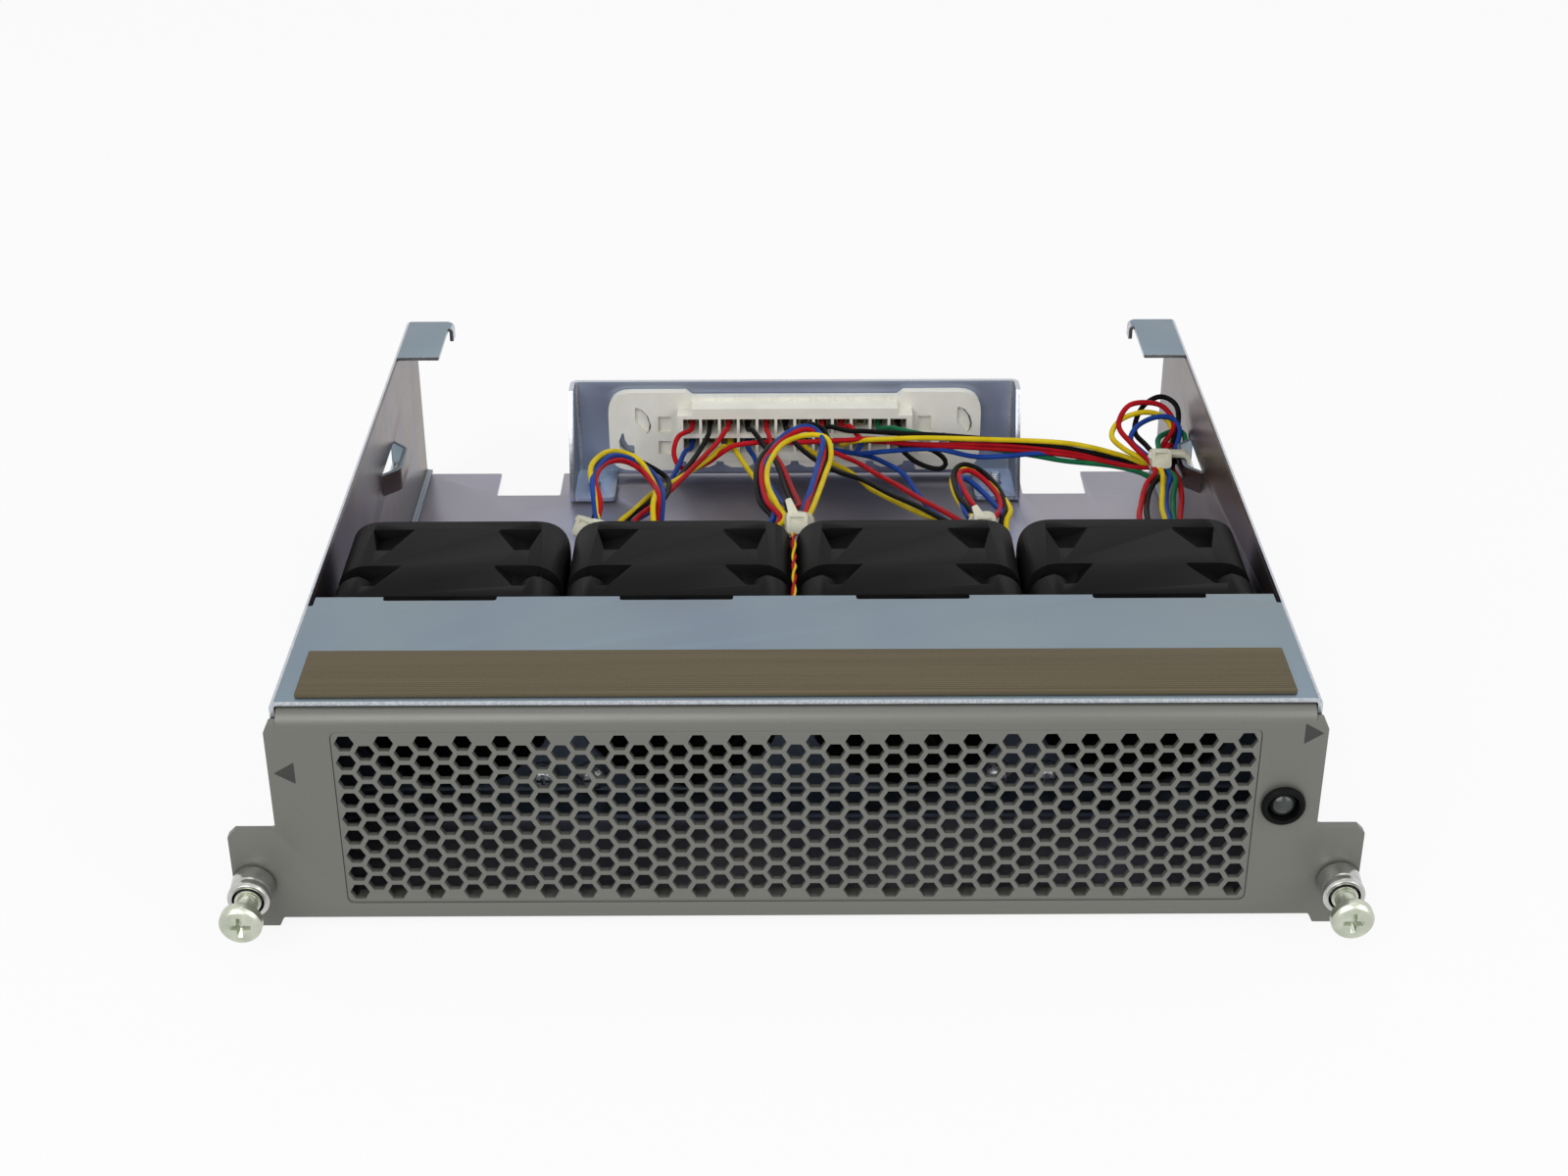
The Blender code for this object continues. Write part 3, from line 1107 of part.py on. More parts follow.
def make_lead(name):
    lamp = name == "lamp_lead"
    curve = bpy.data.curves.new(name, "CURVE")
    curve.dimensions = "3D"
    curve.bevel_depth = LAMP_LEAD_RADIUS if lamp else LEAD_RADIUS
    curve.bevel_resolution = 2
    curve.resolution_u = curve.render_resolution_u = 0
    curve.use_fill_caps = True
    spline = curve.splines.new("POLY")
    route = lead_route(name)
    spline.points.add(len(route) - 1)
    for point, place in zip(spline.points, route):
        point.co = (*place, 1)
    curve.materials.append(material(name, *FINISHES["lamp_wire" if lamp else "wire"]))
    link(bpy.data.objects.new(name, curve))


def tie_ring(outline):
    """A strap pushed to its width; the outline closes round what it holds."""
    inner, outer = outline
    count = len(inner)
    mesh = bmesh.new()
    rings = [[mesh.verts.new((u, w, v)) for u, v in ring] for ring in (inner, outer)
             for w in (-TIE_WIDTH / 2, TIE_WIDTH / 2)]
    for first, second in ((0, 1), (1, 3), (3, 2), (2, 0)):
        for k in range(count):
            m = (k + 1) % count
            mesh.faces.new((rings[first][k], rings[first][m], rings[second][m], rings[second][k]))
    bmesh.ops.recalc_face_normals(mesh, faces=mesh.faces)
    return mesh


def make_tie(name, centre, along, half_width, half_height, roundness=0.9, head_on_side=False):
    """A strap round a bundle, its lock head on top or on the left; along is the bundle's direction."""
    inner_low, inner_high = (-half_width, -half_height), (half_width, half_height)
    outer_low = (-half_width - TIE_THICKNESS, -half_height - TIE_THICKNESS)
    outer_high = (half_width + TIE_THICKNESS, half_height + TIE_THICKNESS)
    radius = min(half_width, half_height) * roundness
    loops = [rounded_rectangle(inner_low, inner_high, radius, 3),
             rounded_rectangle(outer_low, outer_high, radius + TIE_THICKNESS, 3)]
    turn = along.normalized().to_track_quat("Y", "Z").to_matrix().to_4x4()
    place = Matrix.Translation(centre) @ turn
    tie = piece(name, moved(tie_ring(loops), place), "nylon_tie", centre)
    width, depth, height = TIE_HEAD
    edge = (half_width if head_on_side else half_height) + TIE_THICKNESS / 2
    head = box((-width / 2, width / 2), (-depth / 2, depth / 2), (edge, edge + height))
    if head_on_side:
        head = moved(head, Matrix.Rotation(math.radians(-90), 4, "Y"))
    boolean(tie, helper(name + "_head", moved(head, place), centre), "UNION")


def make_ties():
    grip = LEAD_RADIUS + GAP
    for name, (lead, k) in TIE_PLACES.items():
        route = lead_route(lead)
        make_tie(name, (route[k] + route[k + 1]) / 2, route[k + 1] - route[k], grip, grip)
    lead = tray_point(*WALL_TIE)
    far = SHELL_WIDTH / 2 - BRIDGE_RISE + GAP
    near = lead.x - grip
    centre = Vector(((near + far) / 2, lead.y, BRIDGE_HEIGHT))
    make_tie("cable_tie_4", centre, Vector((0, 1, 0)), (far - near) / 2, BRIDGE_WIDTH / 2 + 2 * GAP, 0.3,
             head_on_side=True)


def clear_scene():
    for obj in list(bpy.data.objects):
        bpy.data.objects.remove(obj)


def main():
    clear_scene()
    make_shell()
    make_floor()
    make_gasket()
    make_bezel()
    make_grille()
    make_fan_plate()
    make_fans()
    make_captive("left", -1)
    make_captive("right", 1)
    make_lamp()
    make_bracket()
    make_connector()
    for name in LEAD_ROUTES:
        make_lead(name)
    make_ties()


main()
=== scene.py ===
import math

import bmesh
import bpy
from bpy.props import FloatProperty, FloatVectorProperty, IntProperty, PointerProperty
from mathutils import Matrix, Vector


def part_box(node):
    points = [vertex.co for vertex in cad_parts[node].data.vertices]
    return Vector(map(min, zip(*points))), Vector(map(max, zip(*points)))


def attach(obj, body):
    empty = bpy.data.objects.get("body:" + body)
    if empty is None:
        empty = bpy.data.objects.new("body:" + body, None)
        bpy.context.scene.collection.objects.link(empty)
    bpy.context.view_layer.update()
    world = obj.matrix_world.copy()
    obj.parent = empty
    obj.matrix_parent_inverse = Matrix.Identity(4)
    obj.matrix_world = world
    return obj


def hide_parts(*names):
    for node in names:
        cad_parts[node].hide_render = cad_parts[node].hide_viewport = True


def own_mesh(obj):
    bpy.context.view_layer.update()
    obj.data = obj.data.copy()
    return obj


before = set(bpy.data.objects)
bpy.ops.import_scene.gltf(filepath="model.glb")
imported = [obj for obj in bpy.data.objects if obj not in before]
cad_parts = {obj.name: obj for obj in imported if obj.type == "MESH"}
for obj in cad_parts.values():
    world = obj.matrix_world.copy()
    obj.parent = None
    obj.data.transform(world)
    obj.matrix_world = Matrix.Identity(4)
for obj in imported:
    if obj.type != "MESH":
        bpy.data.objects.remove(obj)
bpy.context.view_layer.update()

bl_info = {
    "name": "Switch Fan Tray",
    "version": (1, 0, 0),
    "blender": (4, 5, 0),
    "location": "3D View > Sidebar > Fan Tray",
    "description": "Builds a switch fan tray piece by piece over its packed solids",
    "category": "Add Mesh",
}

MM = 0.001

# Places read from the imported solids, in metres. "back" is the distance behind the bezel's face.
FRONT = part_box("front_bezel")[0].y
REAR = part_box("floor_plate")[1].y
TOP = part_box("chassis_shell")[1].z
FLOOR_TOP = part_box("floor_plate")[1].z
WALL_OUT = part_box("chassis_shell")[1].x
SHELL_SHEET = 0.8 * MM
WALL_IN = WALL_OUT - SHELL_SHEET
COVER_REAR = FRONT + 36.0 * MM
FAN_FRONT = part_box("fan_frame_1")[0].y
FAN_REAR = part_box("fan_frame_1")[1].y


def axis_of(node):
    """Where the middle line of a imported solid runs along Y, as (x, z)."""
    low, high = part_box(node)
    return (low.x + high.x) / 2, (low.z + high.z) / 2


FAN_AXES = [axis_of(f"fan_frame_{i}") for i in range(1, 5)]
CAPTIVE_X, CAPTIVE_Z = axis_of("captive_screw_right")
LAMP_X, LAMP_Z = axis_of("lamp_holder")
CONNECTOR_X = axis_of("connector_housing")[0]


def at(x, back, z):
    """A point from millimetres: x, distance behind the bezel's face, height."""
    return Vector((x * MM, FRONT + back * MM, z * MM))


# Selection and primitives

def rest_mode():
    if bpy.context.mode != "OBJECT":
        bpy.ops.object.mode_set(mode="OBJECT")


def activate(obj):
    rest_mode()
    bpy.ops.object.select_all(action="DESELECT")
    obj.select_set(True)
    bpy.context.view_layer.objects.active = obj
    return obj


def deselected():
    rest_mode()
    bpy.ops.object.select_all(action="DESELECT")


def named(name):
    obj = bpy.context.object
    obj.name = name
    obj.data.name = name
    return obj


def edit(obj, kind="VERT"):
    activate(obj)
    bpy.ops.object.mode_set(mode="EDIT")
    bpy.ops.mesh.select_mode(type=kind)


def pick_faces(obj, test):
    """In edit mode, selects the faces for which test(centre, normal) is true."""
    bpy.ops.mesh.select_mode(type="FACE")
    bpy.ops.mesh.select_all(action="DESELECT")
    mesh = bmesh.from_edit_mesh(obj.data)
    for face in mesh.faces:
        if test(face.calc_center_median(), face.normal):
            face.select_set(True)
    bmesh.update_edit_mesh(obj.data)


def outward(obj, merge=0.0):
    """Merges doubles and turns all faces outwards."""
    edit(obj)
    bpy.ops.mesh.select_all(action="SELECT")
    if merge:
        bpy.ops.mesh.remove_doubles(threshold=merge)
    bpy.ops.mesh.normals_make_consistent(inside=False)
    rest_mode()
    return obj


def rounded(points, radius, steps=4, closed=True):
    """The same outline with its corners turned to arcs; radius may be one number or one for each corner."""
    made = []
    count = len(points)
    radii = radius if isinstance(radius, (list, tuple)) else [radius] * count
    for i, corner in enumerate(points):
        ends = not closed and i in (0, count - 1)
        before, after = Vector(points[i - 1]), Vector(points[(i + 1) % count])
        corner = Vector(corner)
        if ends or radii[i] <= 0:
            made.append(tuple(corner))
            continue
        a, b = before - corner, after - corner
        half = a.angle(b) / 2
        reach = radii[i] / math.tan(half)
        reach = min(reach, 0.49 * a.length, 0.49 * b.length)
        start, end = corner + a.normalized() * reach, corner + b.normalized() * reach
        for k in range(steps + 1):
            t = k / steps
            made.append(tuple(start * (1 - t) ** 2 + corner * 2 * t * (1 - t) + end * t ** 2))
    return made


AXES = {
    "X": lambda u, v, w: (w, u, v),
    "Y": lambda u, v, w: (u, w, v),
    "Z": lambda u, v, w: (u, v, w),
}


def ring(name, places):
    """A closed loop of edges: a circle primitive with its corners moved to the places."""
    deselected()
    bpy.ops.mesh.primitive_circle_add(vertices=len(places), radius=MM, location=(0, 0, 0))
    obj = named(name)
    for vertex, place in zip(obj.data.vertices, places):
        vertex.co = place
    return obj


def plate(name, outline, axis, start, end, taper=1.0, centre=(0, 0, 0)):
    """An outline filled and extruded along an axis, with its far end scaled by a taper."""
    place = AXES[axis]
    obj = ring(name, [place(u, v, start) for u, v in outline])
    edit(obj)
    bpy.ops.mesh.select_all(action="SELECT")
    bpy.ops.mesh.edge_face_add()
    bpy.ops.mesh.extrude_region_move(TRANSFORM_OT_translate={"value": place(0, 0, end - start)})
    if taper != 1.0:
        bpy.ops.transform.resize(value=(taper, taper, taper), center_override=centre)
    rest_mode()
    return outward(obj)


def block(name, low, high):
    """A cube primitive scaled to fill a box."""
    deselected()
    low, high = Vector(low), Vector(high)
    bpy.ops.mesh.primitive_cube_add(size=1, location=(low + high) / 2)
    obj = named(name)
    bpy.ops.transform.resize(value=high - low)
    bpy.ops.object.transform_apply(location=True, rotation=True, scale=True)
    return obj


def rod(name, radius, start, end, centre=(0.0, 0.0), segments=48):
    """A round bar along Y from one end to the other, at a centre given as (x, z)."""
    deselected()
    turn = (math.radians(90), 0, 0)
    middle = (centre[0], (start + end) / 2, centre[1])
    bpy.ops.mesh.primitive_cone_add(vertices=segments, radius1=radius, radius2=radius,
                                    depth=end - start, location=middle, rotation=turn)
    obj = named(name)
    bpy.ops.object.transform_apply(location=True, rotation=True, scale=True)
    return obj


def spun(name, profile, centre, segments=64):
    """A profile of (radius, y) points spun about a line along Y at (x, z)."""
    x, z = centre
    obj = ring(name, [(x + r, y, z) for r, y in profile])
    edit(obj, "EDGE")
    mesh = bmesh.from_edit_mesh(obj.data)
    on_axis = [e for e in mesh.edges if all(abs(v.co.x - x) < 1e-9 for v in e.verts)]
    bmesh.ops.delete(mesh, geom=on_axis, context="EDGES_FACES")
    bmesh.update_edit_mesh(obj.data)
    bpy.ops.mesh.select_all(action="SELECT")
    bpy.ops.mesh.spin(steps=segments, angle=2 * math.pi, center=(x, 0, z), axis=(0, 1, 0))
    rest_mode()
    return outward(obj, merge=2e-6)


def folded(name, path, axis, start, end, thickness, bend, inward=True, steps=5):
    """A sheet folded along a path: a grid laid on the path, its folds bevelled, then given its thickness."""
    place = AXES[axis]
    deselected()
    bpy.ops.mesh.primitive_grid_add(x_subdivisions=len(path) - 1, y_subdivisions=1, size=1)
    obj = named(name)
    for k, vertex in enumerate(obj.data.vertices):
        u, v = path[k % len(path)]
        vertex.co = place(u, v, start if k < len(path) else end)
    fold = obj.modifiers.new("folds", "BEVEL")
    fold.width = bend
    fold.segments = steps
    fold.limit_method = "ANGLE"
    fold.angle_limit = math.radians(20)
    wall = obj.modifiers.new("sheet", "SOLIDIFY")
    wall.thickness = thickness
    wall.offset = -1 if inward else 1
    wall.use_even_offset = True
    apply_modifiers(obj)
    return outward(obj)


def apply_modifiers(obj):
    activate(obj)
    for step in list(obj.modifiers):
        bpy.ops.object.modifier_apply(modifier=step.name)


def combine(obj, tools, operation="DIFFERENCE"):
    """Cuts the tools from an object or adds them to it, one after the other; the tools go."""
    for tool in tools:
        step = obj.modifiers.new("shape", "BOOLEAN")
        step.operation = operation
        step.solver = "EXACT"
        step.object = tool
        activate(obj)
        bpy.ops.object.modifier_apply(modifier=step.name)
        bpy.data.objects.remove(tool)
    return obj


def turned(obj, degrees, centre):
    """Turns a piece about an axis along Y."""
    edit(obj)
    bpy.ops.mesh.select_all(action="SELECT")
    bpy.ops.transform.rotate(value=math.radians(degrees), orient_axis="Y", center_override=centre)
    rest_mode()
    return obj


def in_rows(obj, rows):
    """Repeats a piece: each (count, step) repeats what the one before it made."""
    for count, step in rows:
        row = obj.modifiers.new("row", "ARRAY")
        row.count = count
        row.use_relative_offset = False
        row.use_constant_offset = True
        row.constant_offset_displace = step
    apply_modifiers(obj)
    return obj


def folded_within(limit, reach, *sheet, inward):
    """A folded sheet, its thickness on the side of the path that keeps every reach(corner) within a limit."""
    made = folded(*sheet, inward=inward)
    if max(reach(v.co) for v in made.data.vertices) > limit:
        bpy.data.objects.remove(made)
        made = folded(*sheet, inward=not inward)
    return made


def joined(name, pieces):
    """Several pieces in one object."""
    activate(pieces[0])
    for piece in pieces[1:]:
        piece.select_set(True)
    bpy.ops.object.join()
    return named(name)


def soften(obj, width, segments=2, angle=32):
    """Breaks sharp edges, as a press, a mould or a coat of paint does."""
    step = obj.modifiers.new("soft_edges", "BEVEL")
    step.width = width
    step.segments = segments
    step.limit_method = "ANGLE"
    step.angle_limit = math.radians(angle)
    step.harden_normals = False
    apply_modifiers(obj)
    return obj


def copied(obj, name, offset=(0, 0, 0)):
    """A copy with a mesh of its own, moved in its mesh."""
    other = obj.copy()
    other.data = obj.data.copy()
    other.name = other.data.name = name
    bpy.context.scene.collection.objects.link(other)
    other.data.transform(Matrix.Translation(Vector(offset)))
    return other


def dress(obj, materials, body="tray", replaces=(), angle=30, choose=None):
    """Gives a finished piece its materials, smooth shading, body and the nodes that it stands for."""
    activate(obj)
    bpy.ops.object.transform_apply(location=True, rotation=True, scale=True)
    materials = materials if isinstance(materials, (list, tuple)) else [materials]
    obj.data.materials.clear()
    for made in materials:
        obj.data.materials.append(made)
    if obj.type == "MESH":
        for face in obj.data.polygons:
            face.material_index = choose(face.center, face.normal) if choose else 0
        bpy.ops.object.shade_smooth_by_angle(angle=math.radians(angle))
    if replaces:
        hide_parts(*replaces)
    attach(obj, body)
    return obj


def dress_node(node, made):
    """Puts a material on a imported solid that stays."""
    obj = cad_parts[node]
    for place in obj.material_slots:
        place.material = made
    if not obj.material_slots:
        obj.data.materials.append(made)


# Materials

def linear(colour):
    """An sRGB hex value as linear RGBA."""
    channels = [int(colour[i:i + 2], 16) / 255 for i in (0, 2, 4)]
    return (*[c / 12.92 if c <= 0.04045 else ((c + 0.055) / 1.055) ** 2.4 for c in channels], 1)


def add_node(tree, kind, settings=None, values=None, links=None):
    """Adds a node, sets its properties and sockets, and links its inputs to other nodes' outputs."""
    made = tree.nodes.new(kind)
    for key, value in (settings or {}).items():
        setattr(made, key, value)
    for key, value in (values or {}).items():
        made.inputs[key].default_value = value
    for key, output in (links or {}).items():
        tree.links.new(output, made.inputs[key])
    return made


def base_material(name, **sockets):
    """A Principled material with its sockets set, and Object coordinates ready to use."""
    made = bpy.data.materials.new(name)
    made.use_nodes = True
    tree = made.node_tree
    shader = tree.nodes["Principled BSDF"]
    for key, value in sockets.items():
        shader.inputs[key.replace("_", " ")].default_value = value
    coordinates = add_node(tree, "ShaderNodeTexCoord")
    return made, tree, shader, coordinates.outputs["Object"]


def ramp(tree, factor, stops):
    """A colour ramp from (position, hex colour) stops."""
    made = add_node(tree, "ShaderNodeValToRGB", links={"Fac": factor})
    points = made.color_ramp.elements
    points[0].position, points[0].color = stops[0][0], linear(stops[0][1])
    points[1].position, points[1].color = stops[-1][0], linear(stops[-1][1])
    for position, colour in stops[1:-1]:
        points.new(position).color = linear(colour)
    return made.outputs["Color"]


def noise(tree, place, size_mm, detail=3.0, stretch=(1, 1, 1), roughness=0.5):
    """Noise whose features are about size_mm across, stretched along an axis where asked."""
    moved = add_node(tree, "ShaderNodeMapping", values={"Scale": stretch}, links={"Vector": place})
    made = add_node(tree, "ShaderNodeTexNoise",
                    values={"Scale": 1000.0 / size_mm, "Detail": detail, "Roughness": roughness},
                    links={"Vector": moved.outputs["Vector"]})
    return made.outputs["Fac"]


def bump(tree, shader, height, depth_mm, normal=None):
    """Bump of a real depth in millimetres."""
    made = add_node(tree, "ShaderNodeBump", values={"Strength": 1.0, "Distance": depth_mm * MM},
                    links={"Height": height})
    if normal:
        tree.links.new(normal, made.inputs["Normal"])
    tree.links.new(made.outputs["Normal"], shader.inputs["Normal"])
    return made.outputs["Normal"]


def spread(tree, factor, low, high):
    """Maps a 0 to 1 factor to a range."""
    made = add_node(tree, "ShaderNodeMapRange", values={"To Min": low, "To Max": high},
                    links={"Value": factor})
    return made.outputs["Result"]


def shades(tree, factor, colour, darkest, lightest):
    """A colour that goes from a darker to a lighter shade of itself, each given as a share of it."""
    mixed = add_node(tree, "ShaderNodeMix", {"data_type": "RGBA"}, links={0: factor})
    for socket, share in ((6, darkest), (7, lightest)):
        mixed.inputs[socket].default_value = (*[min(1, c * share) for c in Vector(colour)], 1)
    return mixed.outputs[2]


def satin_paint(colour):
    """Sprayed two-part enamel with a fine metallic flake: soft broad gloss, faint orange peel."""
    made, tree, shader, place = base_material("satin_silver_enamel", Metallic=0.25, Roughness=0.42,
                                              Coat_Weight=0.12, Coat_Roughness=0.35)
    # Flake shows as slight light and dark speckle about 0.3 mm across
    flake = noise(tree, place, 0.35, detail=2)
    tree.links.new(shades(tree, flake, colour, 0.93, 1.07), shader.inputs["Base Color"])
    tree.links.new(spread(tree, noise(tree, place, 9), 0.38, 0.47), shader.inputs["Roughness"])
    # Orange peel with waves of about 0.8 mm
    bump(tree, shader, noise(tree, place, 0.8, detail=2), 0.006)
    return made


def zinc_plate(name, stops, grain_axis, rough=(0.24, 0.36), drift_mm=42, drift_stretch=(1, 0.6, 1)):
    """Zinc-plated sheet with a clear blue passivate: a metallic film that drifts in colour, rolling grain."""
    made, tree, shader, place = base_material(name, Metallic=0.88)
    # The passivate drifts in tint over some tens of millimetres
    drift = noise(tree, place, drift_mm, detail=2.5, stretch=drift_stretch)
    tree.links.new(ramp(tree, drift, stops), shader.inputs["Base Color"])
    # Rolling grain: streaks 0.25 mm wide and twenty times as long
    long = {"X": (0.05, 1, 1), "Y": (1, 0.05, 1)}[grain_axis]
    grain = noise(tree, place, 0.5, detail=3, stretch=long)
    smudge = noise(tree, place, 14, detail=3)
    both = add_node(tree, "ShaderNodeMath", {"operation": "MULTIPLY"}, links={0: grain, 1: smudge})
    tree.links.new(spread(tree, both.outputs["Value"], *rough), shader.inputs["Roughness"])
    bump(tree, shader, grain, 0.0025)
    return made


def sheared_steel():
    """The cut edge of plated sheet: a bright band with fine vertical break marks."""
    made, tree, shader, place = base_material("sheared_zinc_edge", Metallic=0.95, Roughness=0.3)
    marks = noise(tree, place, 0.4, detail=3)
    tree.links.new(ramp(tree, marks, [(0.3, "A6ACB4"), (0.7, "CDD2D6")]), shader.inputs["Base Color"])
    bump(tree, shader, marks, 0.008)
    return made


def gasket_fabric(colour):
    """Nickel-coated woven polyester over foam: a fine plain weave with a dull metallic sheen."""
    made, tree, shader, place = base_material("conductive_woven_fabric", Metallic=0.2, Roughness=0.68,
                                              Specular_IOR_Level=0.25)
    # Threads 0.15 mm apart run across; the ribs that run the strip's length are drawn 0.6 mm apart to show
    across = noise(tree, place, 0.3, detail=2, stretch=(1, 0.3, 0.3))
    along = add_node(tree, "ShaderNodeTexWave", {"bands_direction": "Y", "wave_profile": "SIN"},
                     {"Scale": math.tau * 1000 / 0.6 / 20, "Distortion": 0.5, "Detail": 1.0,
                      "Detail Scale": 0.4},
                     {"Vector": place})
    weave = add_node(tree, "ShaderNodeMath", {"operation": "MULTIPLY"},
                     links={0: across, 1: along.outputs["Fac"]})
    streak = noise(tree, place, 1.6, detail=4, stretch=(0.02, 1, 1))
    both = add_node(tree, "ShaderNodeMath", {"operation": "ADD"},
                    links={0: weave.outputs["Value"], 1: streak})
    threads = spread(tree, both.outputs["Value"], -0.3, 1.0)
    tree.links.new(shades(tree, threads, colour, 0.7, 1.2), shader.inputs["Base Color"])
    bump(tree, shader, both.outputs["Value"], 0.03)
    return made


def moulded_black(name, shade, rough, wear):
    """Black PBT from a finely eroded mould: near black, low sheen, slightly grey where it was handled."""
    made, tree, shader, place = base_material(name, Specular_IOR_Level=0.04)
    cloud = noise(tree, place, 11, detail=4)
    tree.links.new(ramp(tree, cloud, [(0.3, shade), (0.75, wear)]), shader.inputs["Base Color"])
    tree.links.new(spread(tree, cloud, rough - 0.04, rough + 0.06), shader.inputs["Roughness"])
    # Spark-eroded texture of about 0.25 mm
    bump(tree, shader, noise(tree, place, 0.25, detail=2), 0.004)
    return made


def turned_metal(name, dark, light, rough):
    """Plated turned steel: bright, with faint rings and a cloudy passivate."""
    made, tree, shader, place = base_material(name, Metallic=0.95)
    cloud = noise(tree, place, 2.6, detail=4)
    tree.links.new(ramp(tree, cloud, [(0.25, dark), (0.75, light)]), shader.inputs["Base Color"])
    tree.links.new(spread(tree, noise(tree, place, 0.9), rough - 0.06, rough + 0.08),
                   shader.inputs["Roughness"])
    bump(tree, shader, noise(tree, place, 0.3, detail=2), 0.003)
    return made


def natural_nylon(name, shade, light, glow):
    """Natural moulded nylon: ivory, waxy sheen, a little light carried inside."""
    made, tree, shader, place = base_material(name, Roughness=0.42, Subsurface_Weight=glow,
                                              Subsurface_Radius=(0.0012, 0.001, 0.0007))
    cloud = noise(tree, place, 6, detail=3)
    tree.links.new(ramp(tree, cloud, [(0.3, shade), (0.7, light)]), shader.inputs["Base Color"])
    bump(tree, shader, noise(tree, place, 0.4, detail=2), 0.004)
    return made


def wire_jacket(name, shade, light):
    """Extruded PVC insulation: strong plain colour with a soft gloss and slight drag marks."""
    made, tree, shader, place = base_material(name, Specular_IOR_Level=0.04)
    cloud = noise(tree, place, 5, detail=3)
    tree.links.new(ramp(tree, cloud, [(0.3, shade), (0.7, light)]), shader.inputs["Base Color"])
    tree.links.new(spread(tree, cloud, 0.4, 0.52), shader.inputs["Roughness"])
    bump(tree, shader, noise(tree, place, 0.5, detail=2), 0.004)
    return made


def lamp_epoxy():
    """Clear tinted epoxy of an unlit lamp: dark, glossy, grey-green in the light."""
    made, tree, shader, place = base_material("smoked_clear_epoxy", Roughness=0.22, Coat_Weight=0.15,
                                              Coat_Roughness=0.1)
    depth = noise(tree, place, 2.0, detail=1)
    tree.links.new(ramp(tree, depth, [(0.3, "15181A"), (0.7, "2B302F")]), shader.inputs["Base Color"])
    return made


def winding_copper():
    """Enamelled copper wound in layers: orange-brown bands 0.3 mm apart."""
    made, tree, shader, place = base_material("enamelled_copper", Metallic=0.8, Roughness=0.35)
    bands = add_node(tree, "ShaderNodeTexWave", {"bands_direction": "Y"},
                     {"Scale": math.tau * 1000 / 0.3 / 20, "Distortion": 1.5, "Detail": 2.0},
                     {"Vector": place})
    tree.links.new(ramp(tree, bands.outputs["Fac"], [(0.2, "5A2C16"), (0.8, "B0683A")]),
                   shader.inputs["Base Color"])
    bump(tree, shader, bands.outputs["Fac"], 0.02)
    return made


def printed_ink():
    """Screen-printed dark grey ink, slightly rough, with pinholes."""
    made, tree, shader, place = base_material("screen_print_ink", Roughness=0.55)
    speck = noise(tree, place, 0.3, detail=2)
    tree.links.new(ramp(tree, speck, [(0.3, "262624"), (0.75, "323230")]), shader.inputs["Base Color"])
    return made


MATERIALS = {}


def stock():
    """All materials, made once."""
    if MATERIALS:
        return MATERIALS
    look = bpy.context.scene.fan_tray_look
    cover = [(0.28, "74818F"), (0.45, "7A8894"), (0.6, "7E8C94"), (0.8, "7B8495")]
    wall = [(0.25, "5D5460"), (0.4, "6A5C55"), (0.52, "5B5660"), (0.64, "6E5E5B"), (0.8, "5F6270")]
    # The floor's lilac zinc is its own tint made lighter: painted light standing in for the fill that the
    # fans block.
    inside = [(0.25, "908C9C"), (0.42, "96929C"), (0.55, "8E8C9A"), (0.68, "9294AC"), (0.85, "9E9490")]
    back = [(0.28, "96A1B6"), (0.45, "9FAABC"), (0.62, "98A1B8"), (0.8, "A7B0C2")]
    # The fan plate's zinc is darkened: painted shade for the unlit plenum behind the grille.
    shade = [(0.28, "4A535E"), (0.5, "525B66"), (0.75, "4E5562")]
    MATERIALS.update({
        "paint": satin_paint(look.paint),
        "zinc": zinc_plate("zinc_blue_passivate", cover, "X", (0.42, 0.54)),
        "zinc_wall": zinc_plate("zinc_violet_passivate", wall, "Y", (0.3, 0.44), 16, (1, 1, 0.25)),
        "zinc_floor": zinc_plate("zinc_lilac_with_painted_fill", inside, "X", (0.34, 0.46)),
        "zinc_bracket": zinc_plate("zinc_indigo_passivate", back, "X", (0.36, 0.48)),
        "zinc_plenum_painted_shade": zinc_plate("zinc_in_plenum_painted_shade", shade, "X", (0.4, 0.52)),
        "edge": sheared_steel(),
        "gasket": gasket_fabric(look.gasket),
        "fan_black": moulded_black("moulded_black_pbt", "101010", 0.5, "161616"),
        "impeller_black": moulded_black("moulded_impeller_pbt", "151515", 0.42, "1C1C1D"),
        "holder_black": moulded_black("moulded_black_nylon", "0E0E0E", 0.34, "1A1A1A"),
        "screw": turned_metal("clear_zinc_screw", "ADB3A4", "D2D6C6", 0.3),
        "ferrule": turned_metal("nickel_plated_ferrule", "A9A9A7", "CBCBC8", 0.2),
        "steel": turned_metal("bright_zinc_steel", "9FA3A8", "C6CACE", 0.26),
        "spring": turned_metal("music_wire", "7C7F82", "A5A8AB", 0.3),
        "ivory": natural_nylon("natural_nylon_66", "DEDDD2", "E8E7DD", 0.12),
        "terminal": turned_metal("tinned_brass", "9C9274", "BDB293", 0.3),
        "tie": natural_nylon("natural_nylon_tie", "C3C1AC", "D2D0BE", 0.2),
        "lens": lamp_epoxy(),
        "copper": winding_copper(),
        "ink": printed_ink(),
        "wire_red": wire_jacket("pvc_red", "9C121C", "B41A24"),
        "wire_black": wire_jacket("pvc_black", "0C0C0C", "161616"),
        "wire_yellow": wire_jacket("pvc_yellow", "CAB016", "DEC628"),
        "wire_blue": wire_jacket("pvc_blue", "1B3982", "264A9E"),
        "wire_green": wire_jacket("pvc_green", "155A3C", "20704A"),
    })
    return MATERIALS


# Settings that a user would change

